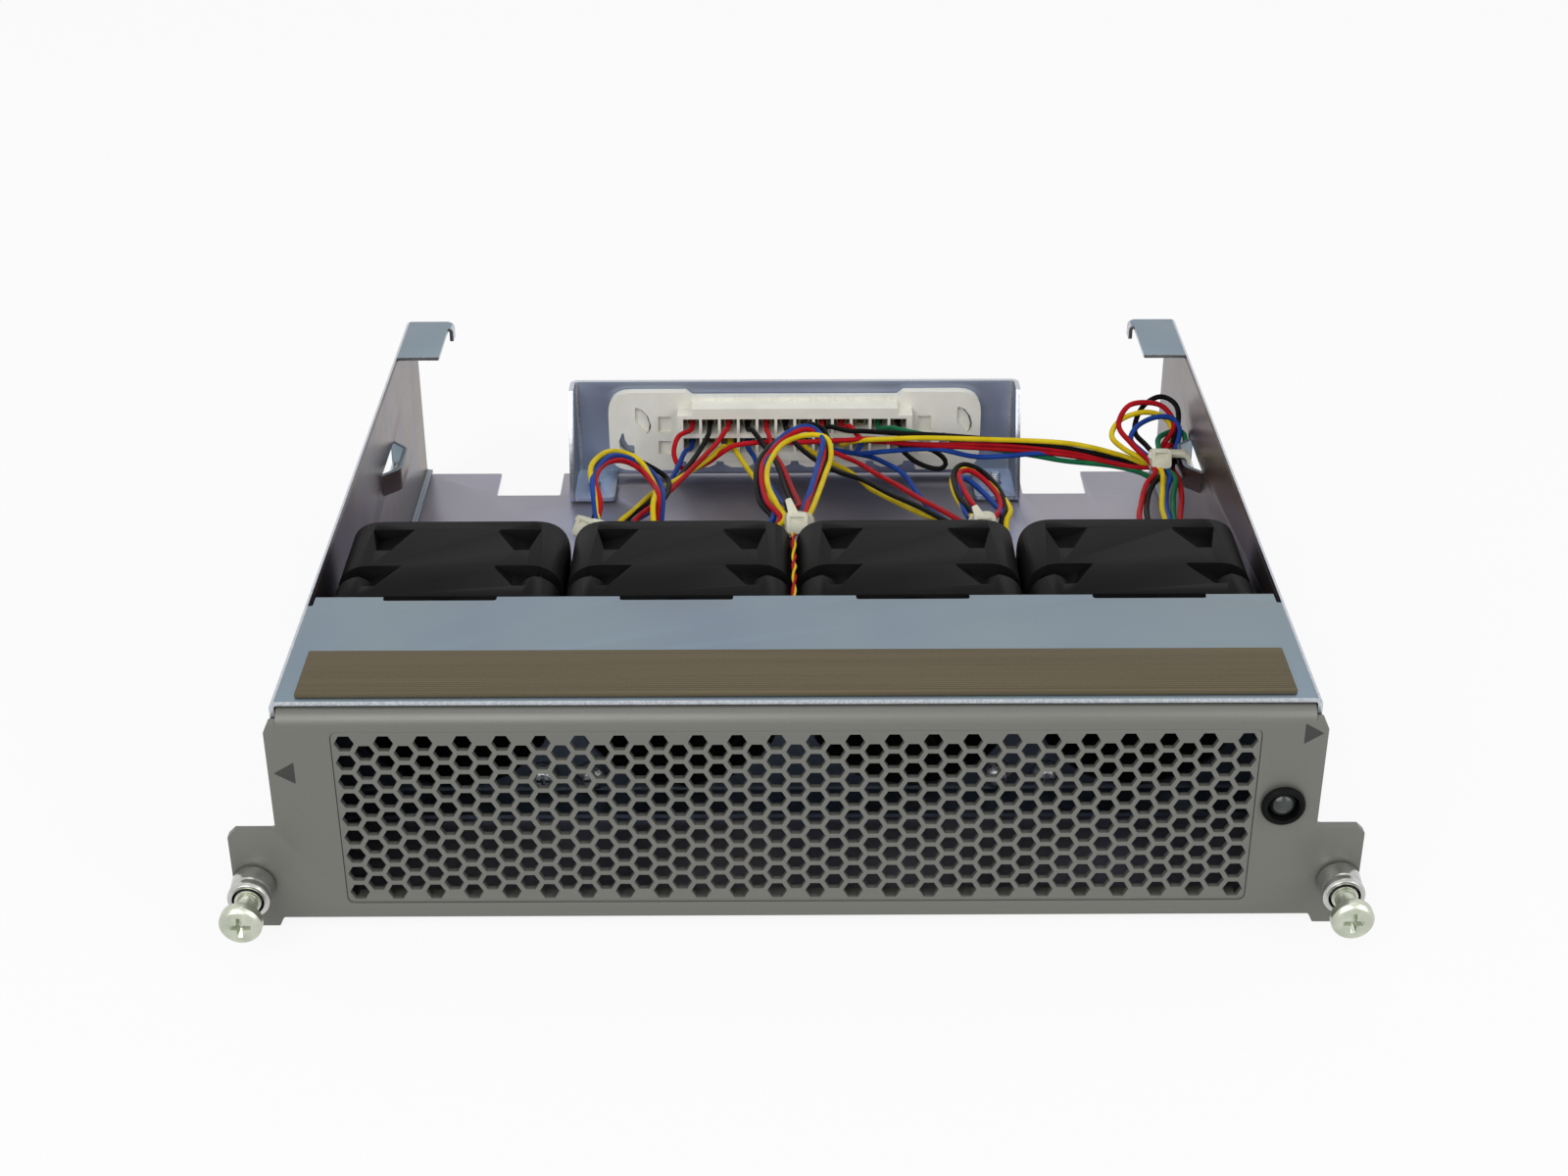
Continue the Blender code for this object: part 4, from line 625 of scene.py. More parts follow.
class FanTrayLook(bpy.types.PropertyGroup):
    paint: FloatVectorProperty(
        name="Bezel paint", description="Colour of the bezel's enamel", subtype="COLOR", size=3,
        min=0, max=1, default=linear("686863")[:3])
    gasket: FloatVectorProperty(
        name="Gasket fabric", description="Colour of the conductive fabric", subtype="COLOR", size=3,
        min=0, max=1, default=linear("5C5340")[:3])


class FanTraySizes(bpy.types.PropertyGroup):
    bend_radius: FloatProperty(
        name="Bend radius", description="Outer radius of the shell's folds", unit="LENGTH",
        default=1.2 * MM, min=0.8 * MM, max=3 * MM)
    paint_edge: FloatProperty(
        name="Paint edge", description="How far paint rounds the bezel's edges", unit="LENGTH",
        default=0.16 * MM, min=0.02 * MM, max=0.5 * MM)
    hexagon: FloatProperty(
        name="Honeycomb hole", description="Width of a hole between its flats", unit="LENGTH",
        default=2.85 * MM, min=1 * MM, max=3.4 * MM)
    hexagon_pitch: FloatProperty(
        name="Honeycomb pitch", description="Distance from a hole to the next", unit="LENGTH",
        default=3.63 * MM, min=2 * MM, max=6 * MM)
    wire: FloatProperty(
        name="Wire radius", description="Outer radius of one insulated wire", unit="LENGTH",
        default=0.56 * MM, min=0.3 * MM, max=1 * MM)
    blades: IntProperty(name="Blades", description="Blades on each impeller", default=5, min=3, max=9)
    spring_turns: FloatProperty(
        name="Spring turns", description="Turns of each captive screw's spring", default=3.0, min=2, max=6)


# Sheet metal

def shell_outline():
    half, inner, bottom = WALL_OUT, WALL_OUT - 2 * MM, FLOOR_TOP + 0.3 * MM
    return [(-inner, bottom), (-half, bottom), (-half, TOP), (half, TOP), (half, bottom), (inner, bottom)]


def cover_cut():
    """Outline of what is sheared away behind the cover: fan notches, bend reliefs and the two tabs."""
    relief_front, relief_inner = COVER_REAR - 3 * MM, WALL_IN - 0.9 * MM
    front = [(-WALL_IN, relief_front), (-relief_inner, relief_front), (-relief_inner, COVER_REAR)]
    radii = [0.3 * MM, 0.3 * MM, 0]
    for x, _ in FAN_AXES:
        left, right, bottom = x - 9.75 * MM, x + 9.75 * MM, COVER_REAR - 1.3 * MM
        front += [(left, COVER_REAR), (left, bottom), (right, bottom), (right, COVER_REAR)]
        radii += [0, 0.6 * MM, 0.6 * MM, 0]
    front += [(relief_inner, COVER_REAR), (relief_inner, relief_front), (WALL_IN, relief_front)]
    radii += [0, 0.3 * MM, 0.3 * MM]
    tab_front, tab_rear, tab_edge = FRONT + 140.2 * MM, FRONT + 159.7 * MM, WALL_OUT - 9.6 * MM
    side = [(WALL_IN, tab_front), (tab_edge, tab_front), (tab_edge, tab_rear), (WALL_IN, tab_rear),
            (WALL_IN, REAR + 1 * MM)]
    side_radii = [0.2 * MM, 0.5 * MM, 0.5 * MM, 0.2 * MM, 0]
    outline = front + side + [(-x, y) for x, y in reversed(side)]
    return rounded(outline, radii + side_radii + side_radii[::-1], 3)


class FANTRAY_OT_shell(bpy.types.Operator):
    """Fold the tray's cover and side walls from one sheet"""
    bl_idname = "fantray.shell"
    bl_label = "Shell"

    def execute(self, context):
        sizes, store = context.scene.fan_tray_sizes, stock()
        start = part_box("chassis_shell")[0].y
        shell = folded("tray_shell", shell_outline(), "Y", start, REAR, SHELL_SHEET, sizes.bend_radius)
        if max(v.co.x for v in shell.data.vertices) > WALL_OUT + 0.1 * MM:
            raise RuntimeError("the shell's sheet has grown outwards")
        top = plate("cover_cut", cover_cut(), "Z", TOP - 1.2 * MM, TOP + MM)
        tab_rear, low = FRONT + 159.7 * MM, TOP - 12.4 * MM
        slope = [(tab_rear, TOP), (REAR, low), (REAR + MM, low), (REAR + MM, TOP + MM), (tab_rear, TOP + MM)]
        combine(shell, [top, plate("slope_cut", slope, "X", -0.1, 0.1)])

        y0, y1, z0, z1 = FRONT + 112 * MM, FRONT + 128 * MM, 22.5 * MM, 27.1 * MM
        for sign in (-1, 1):
            x = sorted((sign * (WALL_IN - MM), sign * (WALL_OUT + MM)))
            window = block("window_cut", (x[0], y0, z0 - 0.3 * MM), (x[1], y1, z1 + 0.3 * MM))
            combine(shell, [window])
            out, rise = sign * WALL_OUT, sign * (WALL_OUT - 3.2 * MM)
            path = [(out, y1 + 0.8 * MM), (out, y1), (rise, y1 - 3.2 * MM), (rise, y0 + 3.2 * MM), (out, y0),
                    (out, y0 - 0.8 * MM)]
            strap = folded_within(WALL_OUT + 0.1 * MM, lambda corner: abs(corner.x),
                                  "bridge", path, "Z", z0, z1, SHELL_SHEET, 0.7 * MM, inward=sign < 0)
            edge = sign * (WALL_OUT - 10.6 * MM)
            lip = [(edge, TOP - 3.2 * MM), (edge, TOP), (edge + sign * 3 * MM, TOP)]
            hook = folded_within(TOP + 0.1 * MM, lambda corner: corner.z,
                                 "hook", lip, "Y", tab_rear - 3.4 * MM, tab_rear - 0.3 * MM, SHELL_SHEET,
                                 sizes.bend_radius, inward=sign > 0)
            combine(shell, [strap, hook], "UNION")
        soften(shell, 0.1 * MM)

        def finish(centre, normal):
            back = centre.y - FRONT
            tab = 140 * MM < back < 160 * MM
            if abs(normal.y) > 0.75 and not (z0 < centre.z < z1 and y0 < centre.y < y1):
                return 2
            if normal.z > 0.3 and abs(centre.x) > WALL_IN and back > 36.2 * MM and not tab:
                return 2
            if tab and abs(normal.x) > 0.7 and abs(centre.x) < WALL_OUT - 9 * MM:
                return 2
            facing_in = centre.x * normal.x < 0 and abs(normal.x) > 0.6 and abs(centre.x) > 0.9 * WALL_IN
            return 1 if facing_in or (normal.z < -0.6 and centre.z > TOP - 2 * MM) else 0

        dress(shell, [store["zinc"], store["zinc_wall"], store["edge"]],
              replaces=["chassis_shell"], choose=finish)
        return {"FINISHED"}


class FANTRAY_OT_floor(bpy.types.Operator):
    """Cut the tray's floor and give the fan plate that stands on it its zinc"""
    bl_idname = "fantray.floor"
    bl_label = "Floor and Fan Plate"

    def execute(self, context):
        store = stock()
        low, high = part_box("floor_plate")
        step, inner, outer = REAR - 11.2 * MM, 52 * MM, 66.2 * MM
        right = [(high.x, low.y), (high.x, REAR), (outer, REAR), (outer, step), (inner, step), (inner, REAR)]
        outline = right + [(-x, y) for x, y in reversed(right)]
        floor = plate("tray_floor", rounded(outline, [0.4 * MM] * 12, 3), "Z", 0, FLOOR_TOP)
        for side in ("left", "right"):
            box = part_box("bracket_screw_" + side)
            place = ((box[0] + box[1]) / 2).to_2d()
            deselected()
            bpy.ops.mesh.primitive_cone_add(vertices=32, radius1=2.6 * MM, radius2=1.2 * MM, depth=1.6 * MM,
                                            location=(*place, 0.4 * MM))
            combine(floor, [named("countersink")])
        soften(floor, 0.08 * MM)

        def finish(centre, normal):
            return 1 if abs(normal.z) < 0.5 and 0.05 * MM < centre.z < FLOOR_TOP - 0.05 * MM else 0

        dress(floor, [store["zinc_floor"], store["edge"]], replaces=["floor_plate"],
              choose=finish)
        # The fan plate takes the darkened zinc, painted shade of the closed plenum.
        dress_node("fan_plate", store["zinc_plenum_painted_shade"])
        return {"FINISHED"}


class FANTRAY_OT_gasket(bpy.types.Operator):
    """Lay the fabric-over-foam gasket on the cover"""
    bl_idname = "fantray.gasket"
    bl_label = "Gasket"

    def execute(self, context):
        low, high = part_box("emi_gasket")
        low.z = TOP + 0.02 * MM
        gasket = block("gasket_strip", low, high)
        edit(gasket)
        bpy.ops.mesh.select_all(action="SELECT")
        bpy.ops.mesh.subdivide(number_cuts=1)
        pick_faces(gasket, lambda centre, normal: normal.z > 0.9)
        bpy.ops.mesh.inset(thickness=0.9 * MM, depth=0.12 * MM)
        rest_mode()
        soften(gasket, 0.25 * MM, 4, 25)
        # The foam is cut by hand, so the long edges wander a little
        for vertex in gasket.data.vertices:
            x, y = vertex.co.x, vertex.co.y
            side = 1 if y > (low.y + high.y) / 2 else -1
            vertex.co.y += side * 0.06 * MM * math.sin(x / (11 * MM)) * math.cos(x / (29 * MM))
        dress(gasket, stock()["gasket"], replaces=["emi_gasket"], angle=40)
        return {"FINISHED"}


class FANTRAY_OT_bezel(bpy.types.Operator):
    """Cut and roll the painted bezel with its ears"""
    bl_idname = "fantray.bezel"
    bl_label = "Bezel"

    def execute(self, context):
        sizes, store = context.scene.fan_tray_sizes, stock()
        sheet, half, ear = 1.5 * MM, 85 * MM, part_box("bezel_ear_right")[1].x
        rear = FRONT + sheet
        roll_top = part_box("front_bezel")[1].z
        radius = 2.6 * MM
        flat = roll_top - radius
        lip = WALL_IN - 0.3 * MM
        right = [(half + 0.4 * MM, 0), (half + 1.2 * MM, -1.7 * MM), (ear, -1.7 * MM), (ear, 16.2 * MM),
                 (ear - 1.2 * MM, 17.4 * MM), (half, 17.4 * MM), (half, flat - MM),
                 (half - 0.8 * MM, flat + 0.8 * MM), (lip, flat + 0.8 * MM), (lip, flat)]
        radii = [0.5, 0.3, 0.3, 0.3, 0.3, 0.9, 0.3, 0.3, 0, 0]
        radii = [r * MM for r in radii]
        outline = rounded(right + [(-x, z) for x, z in reversed(right)], radii + radii[::-1], 3)
        bezel = plate("painted_bezel", outline, "Y", FRONT, rear)
        arc = [(FRONT + radius - radius * math.cos(math.radians(a)),
                flat + radius * math.sin(math.radians(a))) for a in range(0, 91, 10)]
        inner = [(FRONT + radius - (radius - sheet) * math.cos(math.radians(a)),
                  flat + (radius - sheet) * math.sin(math.radians(a))) for a in range(90, -1, -15)]
        back = FRONT + 9 * MM
        section = [(FRONT, flat - MM), *arc, (back, roll_top), (back, roll_top - sheet), *inner,
                   (rear, flat - MM)]
        combine(bezel, [plate("roll", section, "X", -lip, lip)], "UNION")

        wide, low, high = 74.5 * MM, 2.81 * MM, 36.31 * MM
        window = rounded([(-wide, low), (wide, low), (wide, high), (-wide, high)], 1.3 * MM, 5)
        past, hole = (FRONT - MM, rear + MM), 3.3 * MM
        tools = [plate("window_cut", window, "Y", *past), rod("lamp_cut", hole, *past, (LAMP_X, LAMP_Z))]
        tools += [rod("ferrule_cut", hole, *past, (s * CAPTIVE_X, CAPTIVE_Z)) for s in (-1, 1)]
        combine(bezel, tools)
        soften(bezel, sizes.paint_edge, 3)
        dress(bezel, store["paint"],
              replaces=["front_bezel", "bezel_ear_left", "bezel_ear_right"])

        for name, points in (
            ("arrow_left", [(-84.1, 28.6), (-80.7, 26.6), (-80.7, 30.7)]),
            ("arrow_right", [(84.3, 35.5), (81.2, 33.5), (81.2, 37.4)]),
        ):
            print_outline = rounded([(x * MM, z * MM) for x, z in points], 0.12 * MM, 2)
            arrow = plate(name, print_outline, "Y", FRONT - 0.015 * MM, FRONT + 0.02 * MM)
            dress(arrow, store["ink"])
        return {"FINISHED"}


class FANTRAY_OT_grille(bpy.types.Operator):
    """Punch the honeycomb panel that fills the bezel's window"""
    bl_idname = "fantray.grille"
    bl_label = "Honeycomb Grille"

    def execute(self, context):
        sizes = context.scene.fan_tray_sizes
        front = FRONT + 0.15 * MM
        back, lap_front, lap_rear = front + MM, FRONT + 1.8 * MM, FRONT + 2.8 * MM
        half, low, high = 74.4 * MM, 2.91 * MM, 36.21 * MM
        outline = rounded([(-half, low), (half, low), (half, high), (-half, high)], 1.2 * MM, 5)
        grille = plate("honeycomb_panel", outline, "Y", front, back)
        for edge, out in ((high, 1), (low, -1)):
            z = [edge - out * 0.05 * MM, edge - out * 0.7 * MM, edge + out * 1.5 * MM]
            section = [(back - 0.3 * MM, z[0]), (lap_front, z[0]), (lap_front, z[2]), (lap_rear, z[2]),
                       (lap_rear, z[1]), (back - 0.3 * MM, z[1])]
            combine(grille, [plate("lap", section, "X", -72.9 * MM, 72.9 * MM)], "UNION")

        pitch = sizes.hexagon_pitch
        column = pitch * math.cos(math.radians(30))
        for short in (0, 1):
            deselected()
            x, z = -23 * column + short * column, 5.04 * MM + short * pitch / 2
            bpy.ops.mesh.primitive_cylinder_add(vertices=6, radius=sizes.hexagon / math.sqrt(3), depth=2 * MM,
                                                location=(x, front, z),
                                                rotation=(math.radians(90), 0, 0))
            punch = turned(named("hexagon_punch"), 30, (x, front, z))
            bpy.ops.object.transform_apply(location=True, rotation=True, scale=True)
            in_rows(punch, ((24 - short, (2 * column, 0, 0)), (9 - short, (0, 0, pitch))))
            combine(grille, [punch])
        soften(grille, 0.13 * MM, 2)
        dress(grille, stock()["paint"], replaces=["honeycomb_grille"])
        return {"FINISHED"}


# Fans

def fan_frame():
    """Frame of the first fan: square with soft corners, moulded pockets, corner bosses, struts and base."""
    cx, cz = FAN_AXES[0]
    y0, y1 = FAN_FRONT, FAN_REAR
    side = 20 * MM
    corners = [(cx - side, cz - side), (cx + side, cz - side), (cx + side, cz + side), (cx - side, cz + side)]
    frame_piece = plate("fan_frame_shape", rounded(corners, 6.2 * MM, 9), "Y", y0, y1)

    # The corners are cut away behind the front bosses, up to the ledge
    boss_end, ledge = y0 + 7.3 * MM, y0 + 11.0 * MM
    for sx in (-1, 1):
        for sz in (-1, 1):
            edge, cut = 20.4 * MM, 10.4 * MM
            points = [(cx + sx * edge, cz + sz * cut), (cx + sx * edge, cz + sz * edge),
                      (cx + sx * cut, cz + sz * edge)]
            combine(frame_piece, [plate("corner_cut", points, "Y", boss_end, ledge)])

    # Two pockets at each end of each side, wide behind and narrow in front, deepest at the outer front.
    # A corner is (across, behind the front, height), for the inner and outer side, behind then in front.
    rear_pocket = {(0, 1, 1): (6.9, 24.8, 20.4), (1, 1, 1): (15.4, 24.8, 20.4), (0, 0, 1): (10.9, 16.8, 20.4),
                   (1, 0, 1): (13.7, 16.8, 20.4), (0, 1, 0): (10.6, 24.8, 18.5),
                   (1, 1, 0): (14.6, 24.8, 17.4), (0, 0, 0): (11.6, 17.2, 17.2),
                   (1, 0, 0): (13.5, 17.2, 16.8)}
    front_pocket = {(0, 1, 1): (7.6, 11.1, 20.4), (1, 1, 1): (16.4, 11.1, 20.4), (0, 0, 1): (11.9, 3.6, 20.4),
                    (1, 0, 1): (14.2, 3.6, 20.4), (0, 1, 0): (10.9, 11.1, 18.2),
                    (1, 1, 0): (15.8, 11.1, 16.6), (0, 0, 0): (12.3, 4.0, 17.0), (1, 0, 0): (13.8, 4.0, 16.6)}
    for quarter in range(4):
        turn = Matrix.Translation((cx, 0, cz)) @ Matrix.Rotation(math.radians(90 * quarter), 4, "Y")
        for mirror in (-1, 1):
            for corners_of in (rear_pocket, front_pocket):
                deselected()
                bpy.ops.mesh.primitive_cube_add(size=1)
                pocket = named("pocket_cut")
                for vertex in pocket.data.vertices:
                    across, back, height = corners_of[tuple(int(c > 0) for c in vertex.co)]
                    vertex.co = (mirror * across * MM, y0 + back * MM, height * MM)
                outward(pocket)
                if corners_of is front_pocket:
                    boss = rod("boss", 3.9 * MM, y0 - MM, boss_end, (mirror * 16.1 * MM, 16.0 * MM), 32)
                    combine(pocket, [boss])
                pocket.data.transform(turn)
                combine(frame_piece, [pocket])

    bore = 18.5 * MM
    flare = [(0, y0 - MM), (bore + 0.9 * MM, y0 - MM), (bore + 0.9 * MM, y0), (bore, y0 + 1.6 * MM),
             (bore, y1 - 4 * MM), (bore + 0.3 * MM, y1), (bore + 0.3 * MM, y1 + MM), (0, y1 + MM)]
    combine(frame_piece, [spun("bore_cut", flare, (cx, cz), 72)])
    for sx in (-1, 1):
        for sz in (-1, 1):
            place = (cx + sx * 16 * MM, cz + sz * 16 * MM)
            hole = [(0, y0 - MM), (2.3 * MM, y0 - MM), (2.3 * MM, y0), (1.8 * MM, y0 + 0.5 * MM),
                    (1.8 * MM, y1 - 0.5 * MM), (2.3 * MM, y1), (2.3 * MM, y1 + MM), (0, y1 + MM)]
            combine(frame_piece, [spun("hole_cut", hole, place, 24)])
    for k in range(4):
        strut = block("strut", (cx + 9 * MM, y1 - 2.6 * MM, cz - 1.1 * MM),
                      (cx + 19.2 * MM, y1 - 0.15 * MM, cz + 1.1 * MM))
        turned(strut, 45 + 90 * k, (cx, 0, cz))
        soften(strut, 0.3 * MM, 2)
        combine(frame_piece, [strut], "UNION")
    base = [(0, y1), (10 * MM, y1), (10.5 * MM, y1 - 0.5 * MM), (10.5 * MM, y1 - 2.5 * MM),
            (3 * MM, y1 - 2.5 * MM), (3 * MM, y0 + 6 * MM), (1.3 * MM, y0 + 6 * MM),
            (1.3 * MM, y1 - 2.5 * MM), (0, y1 - 2.5 * MM)]
    combine(frame_piece, [spun("motor_base", base, (cx, cz), 64)], "UNION")
    # A shallow round seat in the base, where a disc would be stuck
    combine(frame_piece, [rod("seat_cut", 8.6 * MM, y1 - 0.18 * MM, y1 + MM, (cx, cz), 64)])
    return soften(frame_piece, 0.22 * MM, 2, 38)


def fan_impeller(sizes):
    """Impeller of the first fan: hub cup and blades that lean forward and taper to their tips."""
    cx, cz = FAN_AXES[0]
    y0 = FAN_FRONT
    hub = [(0, y0 + 1.5 * MM), (7.6 * MM, y0 + 1.5 * MM), (9.6 * MM, y0 + 2.0 * MM),
           (10.5 * MM, y0 + 3.6 * MM), (10.5 * MM, y0 + 22 * MM), (9.7 * MM, y0 + 22 * MM),
           (9.7 * MM, y0 + 3.6 * MM), (1 * MM, y0 + 2.6 * MM), (1 * MM, y0 + 24 * MM), (0, y0 + 24 * MM)]
    impeller = spun("impeller_shape", rounded(hub, [0, 1.5 * MM, 1.2 * MM] + [0] * 7, 3), (cx, cz), 60)
    across, along = 6, 12
    for k in range(sizes.blades):
        deselected()
        bpy.ops.mesh.primitive_grid_add(x_subdivisions=across, y_subdivisions=along, size=1)
        blade = named("blade")
        for vertex in blade.data.vertices:
            r, s = vertex.co.x + 0.5, vertex.co.y + 0.5
            radius = (10.2 + 7.8 * r) * MM
            sweep = math.radians(58) * s ** 1.4 + 0.12 * r - 0.1 * r * r * (1 - s)
            angle = math.tau * k / sizes.blades + sweep
            back = (4.5 + 0.9 * r * (1 - s) + 17 * s - 0.8 * r * s) * MM
            vertex.co = (cx + radius * math.cos(angle), y0 + back, cz + radius * math.sin(angle))
        thick = blade.modifiers.new("blade_wall", "SOLIDIFY")
        thick.thickness = 0.8 * MM
        thick.offset = 0
        apply_modifiers(blade)
        outward(blade)
        combine(impeller, [blade], "UNION")
    return impeller


def pan_screw(name, centre, front, rear, radius, shank, end, slot_length=0.6):
    """Round pan-head screw along Y with a cross recess in its face."""
    edge = radius * 0.45
    profile = [(0, front), (radius - edge, front + 0.05 * MM), (radius, front + edge), (radius, rear),
               (shank, rear)]
    y, ridge = rear + 0.3 * MM, 0.5 * MM
    while y + ridge < end:
        profile += [(shank, y), (shank * 0.86, y + ridge / 2)]
        y += ridge
    profile += [(shank * 0.8, end), (0, end)]
    screw = spun(name, rounded(profile[:5], [0, edge, edge, 0.1 * MM, 0], 4, closed=False) + profile[5:],
                 centre, 40)
    depth = min(1.3 * MM, (rear - front) * 0.7)
    return combine(screw, [cross_recess(centre, front, radius * slot_length, depth)])


def cross_recess(centre, front, reach, depth):
    """A cross-shaped cutter that narrows towards its bottom."""
    x, z = centre
    narrow = reach * 0.2
    quarter = [(reach, -narrow), (reach, narrow), (narrow * 1.3, narrow * 1.3)]
    points = []
    for k in range(4):
        c, s = round(math.cos(math.radians(90 * k))), round(math.sin(math.radians(90 * k)))
        points += [(x + u * c - v * s, z + u * s + v * c) for u, v in quarter]
    return plate("recess_cut", points, "Y", front - 0.3 * MM, front + depth, 0.45, (x, front + depth, z))


class FANTRAY_OT_fans(bpy.types.Operator):
    """Mould the four fans and drive in their screws"""
    bl_idname = "fantray.fans"
    bl_label = "Fans"

    def execute(self, context):
        sizes, store = context.scene.fan_tray_sizes, stock()
        first_frame, first_impeller = fan_frame(), fan_impeller(sizes)
        for number, (x, z) in enumerate(FAN_AXES, 1):
            offset = (x - FAN_AXES[0][0], 0, z - FAN_AXES[0][1])
            dress(copied(first_frame, f"moulded_frame_{number}", offset), store["fan_black"],
                  replaces=[f"fan_frame_{number}"], angle=35)
            dress(copied(first_impeller, f"moulded_impeller_{number}", offset), store["impeller_black"],
                  body=f"impeller_{number}", replaces=[f"fan_impeller_{number}"], angle=40)
            dress_node(f"fan_stator_{number}", store["copper"])
            for end in ("lower", "upper"):
                node = f"fan_screw_{number}_{end}"
                low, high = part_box(node)
                centre = ((low.x + high.x) / 2, (low.z + high.z) / 2)
                screw = pan_screw(f"pan_screw_{number}_{end}", centre, low.y, low.y + 2 * MM, 2.6 * MM,
                                  1.5 * MM, high.y)
                dress(screw, store["steel"], replaces=[node], angle=35)
        bpy.data.objects.remove(first_frame)
        bpy.data.objects.remove(first_impeller)
        return {"FINISHED"}


# Captive screws and lamp

class FANTRAY_OT_captives(bpy.types.Operator):
    """Turn the captive screws with their ferrules, washers and springs"""
    bl_idname = "fantray.captives"
    bl_label = "Captive Screws"

    def execute(self, context):
        sizes, store = context.scene.fan_tray_sizes, stock()
        for side, sign in (("left", -1), ("right", 1)):
            centre = (sign * CAPTIVE_X, CAPTIVE_Z)

            def y(back):
                return FRONT + back * MM

            shape = [(3.0, -0.3), (3.6, -0.3), (3.42, -3.2), (3.3, -3.5), (3.3, -3.9), (3.5, -4.3),
                     (3.5, -4.9), (3.2, -5.4), (2.6, -5.4), (2.6, 1.9), (1.6, 1.9), (1.6, 2.4), (3.0, 2.4)]
            soft = [0.1, 0.25, 0.3, 0.15, 0.15, 0.3, 0.3, 0.2, 0.25, 0, 0, 0.2, 0.3]
            profile = rounded([(r * MM, y(b)) for r, b in shape], [s * MM for s in soft], 4)
            dress(spun("ferrule_shell_" + side, profile, centre), store["ferrule"],
                  replaces=["ferrule_" + side], angle=35)

            low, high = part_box("captive_screw_" + side)
            front, rear, tip = low.y, low.y + 2.3 * MM, high.y
            neck, collar = 1.1 * MM, 2.2 * MM
            collar_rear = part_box("thrust_washer_" + side)[0].y - 0.3 * MM
            start = y(2.7)
            shape = [(0, front), (2.9 * MM, front + 0.08 * MM), (3.5 * MM, front + 0.8 * MM),
                     (3.5 * MM, rear), (1.75 * MM, rear), (1.75 * MM, collar_rear - 0.6 * MM),
                     (collar, collar_rear - 0.6 * MM), (collar, collar_rear), (neck, collar_rear),
                     (neck, start)]
            soft = [0, 1.2, 0.5, 0.25, 0.3, 0, 0.1, 0.1, 0, 0]
            profile = rounded(shape, [s * MM for s in soft], 4, closed=False)
            thread, pitch = 1.75 * MM, 0.6 * MM
            place = start
            while place + pitch < tip - 0.3 * MM:
                profile += [(thread * 0.8, place), (thread, place + pitch * 0.45),
                            (thread, place + pitch * 0.6)]
                place += pitch
            profile += [(thread * 0.8, place), (thread * 0.7, tip), (0, tip)]
            screw = spun("knob_screw_" + side, profile, centre, 56)
            combine(screw, [cross_recess(centre, front, 2.1 * MM, 1.3 * MM)])
            soften(screw, 0.06 * MM, 2, 50)
            dress(screw, store["screw"], body="screw_" + side,
                  replaces=["captive_screw_" + side], angle=35)

            low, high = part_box("thrust_washer_" + side)
            ring_shape = [(1.4 * MM, low.y), (2.2 * MM, low.y), (2.2 * MM, high.y), (1.4 * MM, high.y)]
            washer = spun("spring_washer_" + side, rounded(ring_shape, 0.08 * MM, 3), centre, 40)
            dress(washer, store["spring"], body="slider_" + side,
                  replaces=["thrust_washer_" + side])

            self.spring(side, centre, sizes, store)
        return {"FINISHED"}

    def spring(self, side, centre, sizes, store):
        """Round wire wound with closed end turns, converted to a mesh."""
        low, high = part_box("screw_spring_" + side)
        wire, radius = 0.2 * MM, 1.9 * MM
        run, steps = high.y - low.y - 2 * wire, int(28 * sizes.spring_turns)
        places = []
        for k in range(steps + 1):
            t = k / steps
            angle = math.tau * sizes.spring_turns * t
            ease = t + 0.1 * math.sin(math.tau * t) * -1
            places.append((centre[0] + radius * math.cos(angle), high.y - wire - run * ease,
                           centre[1] + radius * math.sin(angle)))
        spring = tube("coil_spring_" + side, [places], wire, ["spring"])
        dress(spring, store["spring"], replaces=["screw_spring_" + side], angle=60)
        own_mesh(spring)


class FANTRAY_OT_lamp(bpy.types.Operator):
    """Mould the status lamp and its holder"""
    bl_idname = "fantray.lamp"
    bl_label = "Status Lamp"

    def execute(self, context):
        store, centre = stock(), (LAMP_X, LAMP_Z)
        shape = [(2.6, -1.2), (3.2, -1.2), (3.6, -0.7), (3.6, -0.3), (3.0, -0.3), (3.0, 6.0), (2.6, 6.0)]
        soft = [0.35, 0.3, 0.3, 0.1, 0, 0.3, 0]
        profile = rounded([(r * MM, FRONT + b * MM) for r, b in shape], [s * MM for s in soft], 4)
        dress(spun("lamp_bezel", profile, centre), store["holder_black"],
              replaces=["lamp_holder"], angle=35)
        lens = [(0, -1.1)] + [(2.3 * math.sin(math.radians(a)), 0.5 - 1.6 * math.cos(math.radians(a)))
                              for a in range(15, 91, 15)] + [(2.3, 5.7), (0, 5.7)]
        dress(spun("lamp_dome", [(r * MM, FRONT + b * MM) for r, b in lens], centre, 48), store["lens"],
              replaces=["status_lamp"], angle=40)
        return {"FINISHED"}


# Bracket and connector

